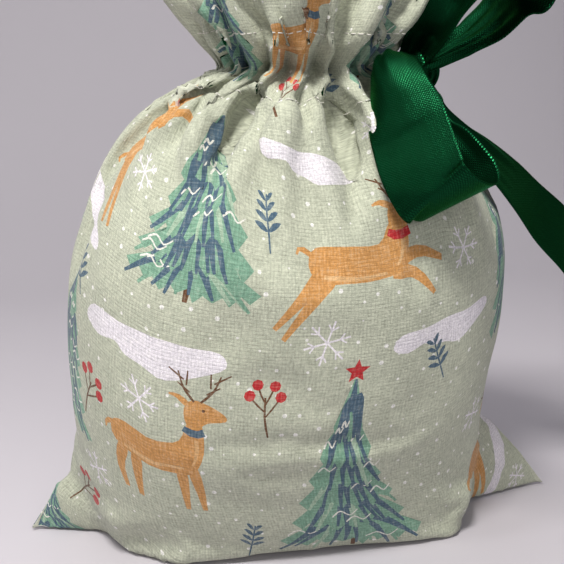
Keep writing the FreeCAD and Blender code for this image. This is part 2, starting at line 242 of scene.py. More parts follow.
# ---- the cloth simulation ----

COLUMNS, ROWS = 70, 84
FRAMES = 26
SIM_SCALE = 10  # the solver is steadier on a cloth ten times as large
LENGTH_STEPS = 317
FLAT_REACH = 97  # how far from the middle the side seams lie on the floor
FLOOR_RUN = 33  # how much of a middle column lies on the floor
RISE = 42  # the height by which the cloth has left its flat shape
FOLDS_START = 95  # v above which the cloth has folds
OVAL = 1.45  # how much wider than deep the pouch is, for spacing the columns
ROUNDED = 1.35  # above 1, ridges are rounder than valleys


def column_angles():
    """The angle round the pouch of each column of cloth, from the right seam to the left one."""
    angle = np.linspace(0, math.pi, 2001)
    arc = np.r_[0, np.cumsum(np.hypot(OVAL * np.diff(np.cos(angle)), np.diff(np.sin(angle))))]
    return np.interp(np.linspace(0, 1, COLUMNS + 1), arc / arc[-1], angle)


def fold_depths(side, level):
    """How deep each column lies in its fold where the cloth is drawn right up, in millimetres."""
    valleys = VALLEYS[side][level]
    ridges = [0, *[(a + b) / 2 for a, b in zip(valleys, valleys[1:])], 1]
    places, depths = [], []
    for n, valley in enumerate(valleys):
        places += [ridges[n], valley]
        depths += [0, (ridges[n + 1] - ridges[n]) * PANEL_HALF]
    straight = np.interp(np.linspace(0, 1, COLUMNS + 1), places + [1], depths + [0])
    deepest = np.interp(np.linspace(0, 1, COLUMNS + 1), places[1::2], depths[1::2])
    return deepest * (straight / deepest) ** ROUNDED


def floor_run(t):
    """How far each column runs along the floor before it rises: most in the middle, not at all at a seam."""
    return FLOOR_RUN * np.minimum(1, (1 - np.abs(t)) / 0.5)


def rising_columns(side, t, angles):
    """The line that each column follows from the floor to the neck, and the distance along it."""
    z = np.linspace(0, NECK_HEIGHT, LENGTH_STEPS)
    width, depth, middle = (smooth_table(z, BODY, c)[:, None] for c in (1, 2, 3))
    level = z[:, None] + 0 * t
    full = np.stack([middle + width * np.cos(angles), side * depth * np.sin(angles), level], -1)
    flat = np.stack([FLAT_REACH * t + 0 * level, side * floor_run(t) + 0 * level, level], -1)
    share = np.clip(z / RISE, 0, 1)[:, None, None]
    share = share**2 * (3 - 2 * share)
    line = flat * (1 - share) + full * share
    steps = np.linalg.norm(np.diff(line, axis=0), axis=-1)
    along = np.concatenate([np.zeros((1, COLUMNS + 1)), np.cumsum(steps, axis=0)])
    return line, along / along[-1]


def fold_row(points, v, folds):
    """Pushes a row of the cloth inwards at its folds, as deep as the cloth that the row has to lose."""
    z = points[COLUMNS // 2, 2]
    table = BODY if v <= CINCH else FRILL
    width, depth, middle = (smooth_table(z, table, c) for c in (1, 2, 3))
    round_it = math.pi * (3 * (width + depth) - math.sqrt((3 * width + depth) * (width + 3 * depth)))
    lost = math.sqrt(max(0, 1 - min(1, round_it / (4 * PANEL_HALF)) ** 2))
    lost = lost * np.clip((v - FOLDS_START) / 60, 0, 1)
    if v < CINCH:
        shoulder, below = np.clip((197 - v) / 14, 0, 1), np.clip((178 - v) / 25, 0, 1)
    else:
        shoulder, below = np.clip((v - 212) / 25, 0, 0.6), 0
    inwards = (folds[0] * (1 - shoulder) + folds[1] * shoulder) * (1 - below) + folds[2] * below
    normal = unit(np.stack([(points[:, 0] - middle) / width**2, points[:, 1] / depth**2], -1))
    points[:, :2] -= normal * (inwards * lost)[:, None]
    points[[0, -1], 1] = 0


def starting_shape(side):
    """A panel wrapped round the full pouch and folded at its neck: points by row and column."""
    t = np.linspace(1, -1, COLUMNS + 1)
    angles = column_angles()
    line, along = rising_columns(side, t, angles)
    folds = [fold_depths(side, level) for level in range(3)]
    z = np.linspace(NECK_HEIGHT, FRILL[-1][0], 100)
    reach = (smooth_table(z, FRILL, 1) + smooth_table(z, FRILL, 2)) / 2
    up = np.r_[0, np.cumsum(np.hypot(np.diff(z), np.diff(reach)))]
    up *= (PANEL_HEIGHT - CINCH) / up[-1]
    grid = np.zeros((ROWS + 1, COLUMNS + 1, 3))
    for i, v in enumerate(np.linspace(0, PANEL_HEIGHT, ROWS + 1)):
        if v > CINCH:
            height = np.interp(v - CINCH, up, z)
            width, depth = smooth_table(height, FRILL, 1), smooth_table(height, FRILL, 2)
            grid[i] = np.stack([width * np.cos(angles), side * depth * np.sin(angles), height + 0 * t], -1)
        else:
            run = floor_run(t)
            for j in range(COLUMNS + 1):
                if v <= run[j]:
                    grid[i, j] = (FLAT_REACH * t[j], side * v, 0)
                else:
                    share = (v - run[j]) / (CINCH - run[j])
                    grid[i, j] = [np.interp(share, along[:, j], line[:, j, c]) for c in range(3)]
        if v > FOLDS_START:
            fold_row(grid[i], v, folds)
    return grid


def sewn_together(front, back):
    """The two grids as one mesh's points, their flat places, faces, and the number of each grid point."""
    number = np.zeros((2, ROWS + 1, COLUMNS + 1), int)
    points, flat, faces = [], [], []
    us = np.linspace(PANEL_HALF, -PANEL_HALF, COLUMNS + 1)
    vs = np.linspace(0, PANEL_HEIGHT, ROWS + 1)
    for i in range(ROWS + 1):
        for k, grid in enumerate((front, back)):
            for j in range(COLUMNS + 1):
                at_seam = i == 0 or j in (0, COLUMNS)
                if k and at_seam:
                    number[1, i, j] = number[0, i, j]
                    continue
                number[k, i, j] = len(points)
                points.append(grid[i, j])
                flat.append((us[j], 0 if at_seam else (k - 0.5) / 10, vs[i]))
    for k in (0, 1):
        for i in range(ROWS):
            for j in range(COLUMNS):
                corner = [number[k, i, j], number[k, i, j + 1], number[k, i + 1, j + 1], number[k, i + 1, j]]
                faces.append([int(c) for c in (corner if k else corner[::-1])])
    return np.array(points), np.array(flat), faces, number


def scratch_object(name, points, faces):
    """An object for the simulation only, at its scale."""
    mesh = bpy.data.meshes.new(name)
    mesh.from_pydata((np.array(points, float) * MM * SIM_SCALE).tolist(), [], faces)
    mesh.update()
    made = bpy.data.objects.new(name, mesh)
    bpy.context.scene.collection.objects.link(made)
    return made


def collider(name, points, faces, thickness, friction):
    """Something that the simulated cloth rests on."""
    made = scratch_object(name, points, faces)
    made.modifiers.new("collision", "COLLISION")
    made.collision.thickness_outer = thickness
    made.collision.cloth_friction = friction
    return made


def contents_collider():
    """The pouch's contents, a little square in plan."""
    round_count, squareness = 64, 0.85
    turn = np.linspace(0, 2 * math.pi, round_count, endpoint=False)
    c, s = (np.sign(x) * np.abs(x) ** squareness for x in (np.cos(turn), np.sin(turn)))
    rings = []
    heights = np.linspace(CONTENTS[0][0], CONTENTS[-1][0], 40)
    for z in heights:
        width, depth = smooth_table(z, CONTENTS, 1), smooth_table(z, CONTENTS, 2)
        rings.append(np.stack([smooth_table(z, BODY, 3) + width * c, depth * s, z + 0 * c], -1))
    faces = [list(range(round_count))[::-1]]
    for i in range(len(rings) - 1):
        for k in range(round_count):
            a, b = i * round_count + k, i * round_count + (k + 1) % round_count
            faces.append([a, b, b + round_count, a + round_count])
    faces.append([(len(rings) - 1) * round_count + k for k in range(round_count)])
    return collider("contents", np.concatenate(rings), faces, 0.012, 8)


def floor_collider():
    """A slab under the pouch."""
    r, d = 300, 30
    points = [(x, y, z) for z in (0, -d) for x, y in ((-r, -r), (r, -r), (r, r), (-r, r))]
    faces = [[0, 1, 2, 3], [7, 6, 5, 4], [4, 5, 1, 0], [5, 6, 2, 1], [6, 7, 3, 2], [7, 4, 0, 3]]
    return collider("slab", points, faces, 0.004, 15)


def set_cloth(piece):
    """Thin cotton, pinned where the ribbon draws it in and stiffer above, where its hem holds it up."""
    cloth = piece.modifiers.new("cloth", "CLOTH")
    s = cloth.settings
    s.quality = 6
    s.mass = 0.3
    s.tension_stiffness = s.compression_stiffness = 20
    s.shear_stiffness = 8
    s.bending_stiffness, s.bending_stiffness_max = 1.5, 25
    s.tension_damping = s.compression_damping = s.shear_damping = 5
    s.bending_damping = 0.5
    s.air_damping = 2
    s.vertex_group_mass, s.vertex_group_bending = "pinned", "hemmed"
    s.rest_shape_key = piece.data.shape_keys.key_blocks["flat"]
    s.effector_weights.gravity = 0.2
    s.use_pressure = True
    s.uniform_pressure_force = 0.5
    touch = cloth.collision_settings
    touch.use_collision = touch.use_self_collision = True
    touch.distance_min = touch.self_distance_min = 0.006
    touch.collision_quality = 3
    touch.self_friction = 5
    cloth.point_cache.frame_start, cloth.point_cache.frame_end = 1, FRAMES


def simulated(front, back):
    """Both panels after the cloth has settled on the contents, as two grids in millimetres."""
    points, flat, faces, number = sewn_together(front, back)
    points[:, 2] += 0.6
    piece = scratch_object("cloth", points, faces)
    piece.shape_key_add(name="Basis")
    key = piece.shape_key_add(name="flat")
    key.data.foreach_set("co", (flat * MM * SIM_SCALE).astype(np.float32).ravel())
    key.value = 0
    pinned = piece.vertex_groups.new(name="pinned")
    hemmed = piece.vertex_groups.new(name="hemmed")
    for i, v in enumerate(np.linspace(0, PANEL_HEIGHT, ROWS + 1)):
        row = sorted({int(n) for n in number[:, i].ravel()})
        if abs(v - CINCH) < 2.6:
            pinned.add(row, 1, "REPLACE")
        if v > CINCH + 3:
            hemmed.add(row, min(1, (v - CINCH - 3) / 8), "REPLACE")
    set_cloth(piece)
    others = [contents_collider(), floor_collider()]
    for step in range(1, FRAMES + 1):
        bpy.context.scene.frame_set(step)
    shown = piece.evaluated_get(bpy.context.evaluated_depsgraph_get())
    settled = np.array([v.co for v in shown.data.vertices]) / MM / SIM_SCALE
    for thing in (piece, *others):
        bpy.data.objects.remove(thing)
    bpy.context.scene.frame_set(1)
    settled[:, 2] = np.maximum(settled[:, 2], 0.5)
    return settled[number[0]], settled[number[1]]


SEAM_SINK, SEAM_EDGE = 0.5, 1.6  # how deep the cloth is sunk at its edges, and how far in from them
ROW_SINK, ROW_WIDTH = 0.35, 1.1  # how deep a stitched row is sunk, and how wide
GAP_OPENING = 2.6  # how far each panel stands away from the gap that the ribbon comes out of
GAP_HALF_HEIGHT, GAP_REACH = 6, 7  # the gap's half height, and how far round the panel it is felt


class Surface:
    """One panel's shape: places and outward directions for any u and v on its flat cut."""

    def __init__(self, grid, side):
        self.side = side
        self.grid = np.pad(grid, ((1, 1), (1, 1), (0, 0)), mode="reflect", reflect_type="odd")

    def smooth(self, u, v):
        """The simulated shape, made smooth between its points."""
        across = np.clip((PANEL_HALF - u) / (2 * PANEL_HALF), 0, 1) * COLUMNS
        up = np.clip(v / PANEL_HEIGHT, 0, 1) * ROWS
        j, i = np.minimum(across.astype(int), COLUMNS - 1), np.minimum(up.astype(int), ROWS - 1)
        wide, tall = cubic_weights(across - j), cubic_weights(up - i)
        return sum(
            (a * b)[..., None] * self.grid[i + m, j + n]
            for m, a in enumerate(tall)
            for n, b in enumerate(wide)
        )

    def raw(self, u, v):
        """The shape with its sharp creases."""
        u, v = np.broadcast_arrays(np.asarray(u, float), np.asarray(v, float))
        step = 1.5
        along_u = self.smooth(u + step, v) - self.smooth(u - step, v)
        along_v = self.smooth(u, v + step) - self.smooth(u, v - step)
        out = unit(np.cross(along_u, along_v)) * -self.side
        return self.smooth(u, v) + out * self.relief(u, v)[..., None]

    def relief(self, u, v):
        """How far the creases sink the cloth, and how far it swells beside them."""
        lift = np.zeros(u.shape)
        for crease in CREASES[self.side]:
            nearest, depth = np.full(u.shape, 1e9), np.zeros(u.shape)
            for (u0, v0, d0), (u1, v1, d1) in zip(crease, crease[1:]):
                along = ((u - u0) * (u1 - u0) + (v - v0) * (v1 - v0)) / ((u1 - u0) ** 2 + (v1 - v0) ** 2)
                along = np.clip(along, 0, 1)
                away = np.hypot(u - u0 - along * (u1 - u0), v - v0 - along * (v1 - v0))
                depth = np.where(away < nearest, d0 + along * (d1 - d0), depth)
                nearest = np.minimum(away, nearest)
            near = np.sqrt(nearest**2 + 0.5) - 0.7  # rounded at the bottom of the crease
            width = CREASE_WIDTH * (0.7 + 0.13 * depth)
            valley = np.exp(-near / width)
            swell = np.exp(-(((near - 2.3 * width) / (1.4 * width)) ** 2))
            lift += depth * (0.42 * swell - valley)
        edge = np.clip((PANEL_HALF - np.abs(u)) / 6, 0, 1)
        cinched = smooth_step((np.abs(v - CINCH) - 7) / 9)
        return lift * edge * cinched

    def outward(self, u, v):
        """The direction out of the pouch."""
        step = 0.7
        along_u = self.raw(u + step, v) - self.raw(u - step, v)
        along_v = self.raw(u, v + step) - self.raw(u, v - step)
        return unit(np.cross(along_u, along_v)) * -self.side

    def at(self, u, v, lift=0.0):
        """Places on the cloth's outside, or lifted off it, with its seams and stitched rows sunk in."""
        u, v = np.broadcast_arrays(np.asarray(u, float), np.asarray(v, float))
        out = self.outward(u, v)
        edge = np.clip(1 - (PANEL_HALF - np.abs(u)) / SEAM_EDGE, 0, 1)
        sink = SEAM_SINK * edge**2
        for row in (LOWER_ROW, UPPER_ROW):
            sink = sink + ROW_SINK * np.exp(-(((v - row) / ROW_WIDTH) ** 2))
        place = self.raw(u, v) + out * (np.asarray(lift) - sink)[..., None]
        gap = np.clip(1 - ((v - CINCH) / GAP_HALF_HEIGHT) ** 2, 0, 1)
        gap = gap * np.clip(1 - (PANEL_HALF - u) / GAP_REACH, 0, 1)
        place[..., 1] += self.side * GAP_OPENING * gap
        return place


def flatten_corners(grid):
    """Presses both bottom corners flat beyond their creases, and gives the seam its outline there."""
    for sign, ((low, high, top), outline) in CORNERS.items():
        x, z = grid[..., 0] * sign, grid[..., 2]
        crease = low + (high - low) * np.clip(z / top, 0, 1)
        fade = 1 - smooth_step((z - top) / 14)
        seam = grid[:, -1 if sign < 0 else 0]
        target = np.interp(seam[:, 2], *zip(*outline))
        at_seam = low + (high - low) * np.clip(seam[:, 2] / top, 0, 1)
        stretch = (target - at_seam) / np.maximum(seam[:, 0] * sign - at_seam, 2)
        stretch = np.clip(stretch, 0.3, 2.0)[:, None]
        reach = x - crease
        moved = np.where(reach > 0, reach * (stretch - 1) * fade, 0)
        grid[..., 0] += moved * sign
        grid[..., 1] *= 1 - 0.6 * smooth_step((reach + 3) / 11) * fade
    return grid


def make_surfaces():
    """The shape of both panels."""
    front, back = starting_shape(FRONT), starting_shape(BACK)
    front, back = simulated(front, back)
    front, back = flatten_corners(front), flatten_corners(back)
    return {FRONT: Surface(front, FRONT), BACK: Surface(back, BACK)}


SURFACES = make_surfaces()


# ---- the print ----

PALETTE = {
    "sage": (0.475, 0.497, 0.392),
    "snow": (0.780, 0.740, 0.790),
    "dot": (0.800, 0.790, 0.760),
    "ochre": (0.560, 0.275, 0.085),
    "pale_ochre": (0.640, 0.380, 0.170),
    "brown": (0.130, 0.055, 0.022),
    "slate": (0.066, 0.120, 0.175),
    "teal": (0.185, 0.350, 0.250),
    "pale_teal": (0.340, 0.470, 0.350),
    "white": (0.740, 0.730, 0.670),
    "red": (0.480, 0.020, 0.025),
}
COLOURS = list(PALETTE)


class Motif:
    """Coloured outlines about a place on the cut, turned, sized and turned over as a whole."""

    def __init__(self, shapes, u, v, size=1.0, turn=0.0, flip=False):
        self.shapes = shapes
        self.place = np.array((u, v), float)
        c, s = math.cos(math.radians(turn)) * size, math.sin(math.radians(turn)) * size
        over = -1 if flip else 1
        self.matrix = np.array(((c * over, s * over), (-s, c)))

    def fill(self, colour, outline):
        """Adds one outline, given about the motif's own place."""
        self.shapes.append((colour, np.array(outline, float) @ self.matrix + self.place))

    def blob(self, colour, points, count=3):
        """A smooth closed shape through some points."""
        self.fill(colour, smooth_line(points, count * len(points), closed=True))

    def stroke(self, colour, points, thick, thin=0.3, count=7):
        """A brush stroke along some points, thick where it starts and thin at its end."""
        line = smooth_line(points, count)
        along = unit(np.gradient(line, axis=0))
        across = np.stack([-along[:, 1], along[:, 0]], -1)
        half = np.linspace(thick, thin, count)[:, None] / 2
        half[0] *= 0.7
        self.fill(colour, np.concatenate([line + across * half, (line - across * half)[::-1]]))

    def disc(self, colour, x, y, radius, sides=7):
        """A round dot."""
        turn = np.linspace(0, 2 * math.pi, sides, endpoint=False)
        self.fill(colour, np.stack([x + radius * np.cos(turn), y + radius * np.sin(turn)], -1))

    def star(self, colour, x, y, radius):
        """A five-pointed star."""
        turn = math.pi / 2 + np.arange(10) * math.pi / 5
        reach = np.where(np.arange(10) % 2, 0.45, 1) * radius
        self.fill(colour, np.stack([x + reach * np.cos(turn), y + reach * np.sin(turn)], -1))


def fir(shapes, u, v, height, width, turn=0, seed=0, topped=False):
    """A fir of ragged skirts, each brushed over in two blues and a green, with thin lines of snow."""
    motif = Motif(shapes, u, v, 1, turn)
    draw = random.Random(seed)
    tiers = 6
    motif.stroke("brown", [(0, -0.05 * height), (0.3, 0.1 * height)], 2.2, 2.0, 3)
    for k in range(tiers):
        low, high = height * 0.142 * k, height * (0.142 * k + 0.29)
        half = width / 2 * (1 - k / (tiers + 0.3)) * draw.uniform(0.93, 1.06)
        teeth = 8 - k
        hem = []
        for n in range(2 * teeth + 1):
            tip = -draw.uniform(0.015, 0.06) if n % 2 else draw.uniform(0.0, 0.03)
            x = half * (1 - n / teeth) + draw.uniform(-0.4, 0.4)
            hem.append((x, low + height * (tip + 0.035 * abs(1 - n / teeth))))
        motif.fill("teal", [(-0.10 * half, high), (0.10 * half, high), *hem])
        for n in range(teeth + 3):
            x = half * (2 * (n + draw.uniform(0.1, 0.9)) / (teeth + 3) - 1)
            top = (x * 0.18, high - height * draw.uniform(0.04, 0.12))
            bend = (x * 0.55, (low + high) / 2 - height * 0.01)
            foot = (x * draw.uniform(0.9, 1.08), low - height * draw.uniform(0.0, 0.05))
            colour = draw.choice(("slate", "slate", "slate", "slate", "pale_teal", "teal"))
            motif.stroke(colour, [top, bend, foot], width * draw.uniform(0.045, 0.10), 0.9, 6)
        for n in range(2):
            x = half * draw.uniform(-0.75, 0.75)
            y = low + height * draw.uniform(0.03, 0.13)
            jag = [(x + (m - 1.5) * half * 0.15, y + (0.022 if m % 2 else -0.012) * height) for m in range(4)]
            motif.stroke("white", jag, 0.65, 0.4, 10)
    motif.stroke("slate", [(0, height * 0.84), (0, height * 0.93), (0.2, height)], 3.0, 0.6, 4)
    if topped:
        motif.star("red", 0, height + 2.5, 4.0)


def antlers(motif, x, y, size=1.0):
    """Two branched antlers that rise from one place."""
    for sign in (-1, 1):
        tip = (x + sign * 6.5 * size, y + 9 * size)
        motif.stroke("brown", [(x + sign, y), (x + sign * 4.5 * size, y + 4 * size), tip], 0.9, 0.45)
        for at, out, up in ((0.35, 5.0, 1.5), (0.6, 2.0, 5.5), (0.8, 8.0, 5.5)):
            start = (x + sign * (1 + 4.5 * at) * size, y + 8.2 * at * size)
            end = (x + sign * (out + 1.5) * size, y + (up + 4) * size)
            motif.stroke("brown", [start, end], 0.75, 0.4, 3)


def standing_deer(shapes, u, v, size=1.0, turn=0, flip=False):
    """A plain deer that stands still, looking to its right."""
    motif = Motif(shapes, u, v, size, turn, flip)
    for top, knee, foot in (
        ((-12, 17), (-14.5, 8), (-13, 0)),
        ((-8, 16), (-8.5, 8), (-8.5, 0)),
        ((7, 16), (7, 8), (6.5, 0)),
        ((11, 17), (12, 8), (12, 0)),
    ):
        motif.stroke("ochre", [top, knee, foot], 4.4, 1.5, 6)
    back = [(-15, 16), (-16, 22), (-11, 25), (0, 24.5), (7, 26), (10, 33)]
    chest = [(13.5, 34), (15, 28), (14, 20), (9, 14), (-4, 14.5)]
    motif.blob("ochre", back + chest)
    crown = [(9.5, 32), (8.5, 37), (11, 40), (16, 39)]
    muzzle = [(21, 36.3), (21.3, 34.3), (16, 33.2), (13, 31)]
    motif.blob("ochre", crown + muzzle)
    motif.stroke("ochre", [(10, 38), (6.5, 40.5), (3.5, 41)], 2.4, 0.6, 5)
    motif.stroke("ochre", [(-15, 22), (-18, 20.5), (-18.5, 18)], 2.2, 0.6, 4)
    motif.stroke("pale_ochre", [(-12, 16.5), (-2, 16), (8, 16.5)], 1.8, 0.8, 5)
    motif.stroke("pale_ochre", [(12.5, 27), (12.5, 22), (11, 18)], 1.8, 0.6, 4)
    motif.stroke("slate", [(8.5, 30.5), (12, 29), (15, 30)], 2.6, 2.4, 4)
    motif.disc("brown", 14.5, 37, 0.55, 6)
    antlers(motif, 12.5, 39.5)


def leaping_deer(shapes, u, v, size=1.0, turn=0, flip=False):
    """A plain deer in mid leap, with its legs stretched out."""
    motif = Motif(shapes, u, v, size, turn, flip)
    for top, knee, foot in (
        ((-12, 2), (-18, -7), (-25, -17)),
        ((-9, 1), (-15, -8), (-22, -20)),
        ((10, 3), (19, 6), (28, 3.5)),
        ((10, 1), (18, 0.5), (25, -6.5)),
    ):
        motif.stroke("ochre", [top, knee, foot], 5.2, 1.5, 7)
    back = [(-17, 3), (-15, 8.5), (-6, 9), (6, 9.5), (10, 15)]
    chest = [(15, 16), (16.5, 9), (14, 2), (5, -1), (-6, -2), (-13, -2)]
    motif.blob("ochre", back + chest)
    crown = [(10.5, 14), (10, 18.5), (13, 21), (18, 19.5)]
    muzzle = [(23.5, 17), (23.5, 15), (18, 14.5), (14.5, 12.5)]
    motif.blob("ochre", crown + muzzle)
    motif.stroke("ochre", [(11, 19.5), (7.5, 21), (5, 20.5)], 2.4, 0.6, 5)
    motif.stroke("ochre", [(-16, 6), (-20, 7.5), (-21, 5.5)], 2.3, 0.7, 4)
    motif.stroke("pale_ochre", [(-12, 0), (-2, -0.6), (8, 1)], 1.8, 0.8, 5)
    motif.stroke("pale_ochre", [(14.5, 10), (14, 6), (12, 3)], 1.8, 0.6, 4)
    motif.stroke("red", [(9.5, 12.5), (13, 11.2), (17, 12.2)], 2.8, 2.6, 4)
    motif.disc("brown", 16.5, 18, 0.55, 6)
    antlers(motif, 13.5, 20.5, 0.85)


def snow_patch(shapes, u, v, size=1.0, turn=0, flip=False):
    """A drift of snow, rounded above and cut in below."""
    motif = Motif(shapes, u, v, size, turn, flip)
    above = [(-23, 3), (-19, 7), (-9, 5.5), (2, 4.5), (12, 1.5), (20, -1), (21, -5)]
    below = [(14, -6.5), (4, -7), (-2, -4), (-8, -2.5), (-11, 0), (-18, -0.5)]
    motif.blob("snow", above + below)


def snowflake(shapes, u, v, radius=6.0, turn=0):
    """A six-armed snowflake with a fork on each arm."""
    motif = Motif(shapes, u, v, 1, turn)
    for arm in range(6):
        a = math.radians(60 * arm)
        out = np.array((math.cos(a), math.sin(a)))
        motif.stroke("snow", [(0, 0), tuple(out * radius)], 0.75, 0.6, 2)
        for sign in (-1, 1):
            b = a + sign * math.radians(42)
            tip = out * radius * 0.55 + np.array((math.cos(b), math.sin(b))) * radius * 0.33
            motif.stroke("snow", [tuple(out * radius * 0.55), tuple(tip)], 0.6, 0.5, 2)


def berry_sprig(shapes, u, v, size=1.0, turn=0):
    """Red berries on a forked stem."""
    motif = Motif(shapes, u, v, size, turn)
    berries = ((-4, 6), (-1.5, 9), (3.5, 8), (5, 4.5))
    motif.stroke("brown", [(0.5, -8), (0, -1), (0.5, 5)], 0.7, 0.6, 5)
    for x, y in berries:
        motif.stroke("brown", [(0.2, y - 5.5), (x * 0.6, y - 2.5), (x, y)], 0.6, 0.5, 4)
    for x, y in berries:
        motif.disc("red", x, y, 1.7, 8)


def leaf_sprig(shapes, u, v, size=1.0, turn=0):
    """Small leaves in pairs along a stem."""
    motif = Motif(shapes, u, v, size, turn)
    motif.stroke("slate", [(0.4, -9), (0, 0), (0.3, 7)], 0.65, 0.5, 5)
    for n, y in enumerate((-3.5, -0.7, 2.1, 4.9)):
        for sign in (-1, 1):
            reach = 4.2 - 0.55 * n
            tip = (sign * reach, y + 2.6)
            leaf = [(0, y), (sign * reach * 0.5, y + 0.6), tip, (sign * reach * 0.4, y + 2.4)]
            motif.blob("slate", leaf, 2)


def snow_dots(shapes, seed):
    """Scattered dots of falling snow over the whole cut, none of them touching."""
    motif = Motif(shapes, 0, 0)
    draw = random.Random(seed)
    spacing = 7.0
    rows = int(CUT_HEIGHT / spacing)
    columns = int(2 * PANEL_HALF / spacing)
    for i in range(rows):
        for j in range(columns):
            x = -PANEL_HALF + (j + draw.uniform(0.2, 0.8)) * spacing
            y = (i + draw.uniform(0.2, 0.8)) * spacing
            radius = draw.choice((0, 0.3, 0.4, 0.5, 0.6, 0.75))
            if radius:
                motif.disc("dot", x, y, radius, 6)


def print_of(side):
    """Everything that is printed on one panel's cut, from the ground up."""
    shapes = []
    snow_dots(shapes, SEED + side)
    if side == BACK:
        draw_back(shapes)
    else:
        draw_front(shapes)
    return shapes


TOPPED = (2, 11)  # the firs with a star, by their seeds


def lay_out(shapes, drifts, flakes, flake_turn, berries, leaves, firs, deer):
    """One panel's motifs: drifts, then flakes and sprigs, then trees and deer."""
    for u, v, size, turn in drifts:
        snow_patch(shapes, u, v, size, turn)
    for u, v, radius in flakes:
        snowflake(shapes, u, v, radius, flake_turn * u % 60)
    for u, v, turn in berries:
        berry_sprig(shapes, u, v, 1, turn)
    for u, v, turn in leaves:
        leaf_sprig(shapes, u, v, 1, turn)
    for u, v, height, width, turn, seed in firs:
        fir(shapes, u, v, height, width, turn, seed, topped=seed in TOPPED)
    for draw_deer, u, v, size, turn, flip in deer:
        draw_deer(shapes, u, v, size, turn, flip)


def draw_front(shapes):
    """The front panel's motifs."""
    lay_out(
        shapes,
        drifts=(
            (-50, 107, 1.1, 14),
            (42, 114, 0.85, 14),
            (-1, 168, 0.8, -3),
            (-90, 136, 0.8, -30),
            (84, 30, 0.9, 62),
            (78, 196, 0.8, 15),
        ),
        flakes=(
            *((-64, 155, 6), (2, 116, 7), (50, 137, 6.5), (-52, 92, 6.5), (-72, 52, 6), (88, 12, 5.5)),
            *((28, 178, 5.5), (-30, 214, 6), (64, 72, 6), (-14, 24, 6.5), (52, 20, 6)),
        ),
        flake_turn=7,
        berries=((-73, 79, -14), (-14, 94, 8), (-12, 189, 4), (-81, 32, -20), (66, 168, 20), (46, 205, -30)),
        leaves=((-17, 150, 4), (-83, 116, 12), (39, 106, 24), (-22, 44, -15), (90, 74, 10), (18, 196, -8)),
        firs=(
            (-40, 127, 52, 46, -2, 1),
            (12, 38, 66, 48, 0, 2),
            (84, 100, 58, 40, 6, 3),
            (-92, 62, 52, 40, -8, 4),
            (48, 200, 50, 40, 16, 5),
            (-62, 200, 50, 40, -12, 6),
            (-90, 2, 30, 30, 20, 7),
        ),
        deer=(
            (standing_deer, -46, 57, 0.98, 0, False),
            (leaping_deer, 12, 135, 0.98, -4, False),
            (leaping_deer, -73, 162, 0.95, 46, False),
            (leaping_deer, 78, 46, 0.9, 30, False),
            (standing_deer, -18, 197, 0.95, -4, False),
        ),
    )


def draw_back(shapes):
    """The back panel's motifs, from the same set laid out afresh."""
    lay_out(
        shapes,
        drifts=((48, 112, 1.2, -10), (-30, 96, 1.1, 20), (-64, 160, 1.0, -12), (20, 182, 0.9, 6)),
        flakes=(
            *((60, 150, 6), (8, 120, 6.5), (-46, 130, 6), (70, 84, 6), (-80, 96, 6), (30, 60, 6.5)),
            *((-20, 30, 6), (84, 30, 6), (-84, 24, 5.5), (2, 206, 6), (-50, 208, 6), (88, 196, 6)),
        ),
        flake_turn=11,
        berries=((26, 152, 10), (-12, 64, -8), (74, 120, 14), (-60, 68, 6), (40, 22, -16), (-86, 186, 0)),
        leaves=((-22, 152, -6), (88, 58, 12), (52, 84, -18), (-50, 34, 8), (-88, 130, 16), (44, 192, 4)),
        firs=(
            (30, 66, 62, 44, 4, 11),
            (-68, 100, 54, 42, -6, 12),
            (84, 126, 54, 40, 8, 13),
            (-34, 188, 52, 40, 6, 14),
            (66, 4, 40, 36, -6, 15),
            (74, 206, 46, 38, 4, 16),
            (-76, 6, 42, 36, 10, 17),
        ),
        deer=(
            (standing_deer, -26, 42, 1.0, 0, True),
            (leaping_deer, -8, 124, 1.0, 6, True),
            (leaping_deer, 60, 168, 0.95, 18, False),
            (standing_deer, 10, 214, 0.9, -6, False),
        ),
    )


def inside_of(points, outline):
    """Which points lie inside an outline."""
    x, y = points[:, 0], points[:, 1]
    found = np.zeros(len(points), bool)
    for (x0, y0), (x1, y1) in zip(outline, np.roll(outline, -1, axis=0)):
        spans = (y0 > y) != (y1 > y)
        if y0 != y1:
            found ^= spans & (x < (x1 - x0) * (y - y0) / (y1 - y0) + x0)
    return found


GRID_STEP = 1.9  # between the points that the cloth gets besides its print's outlines


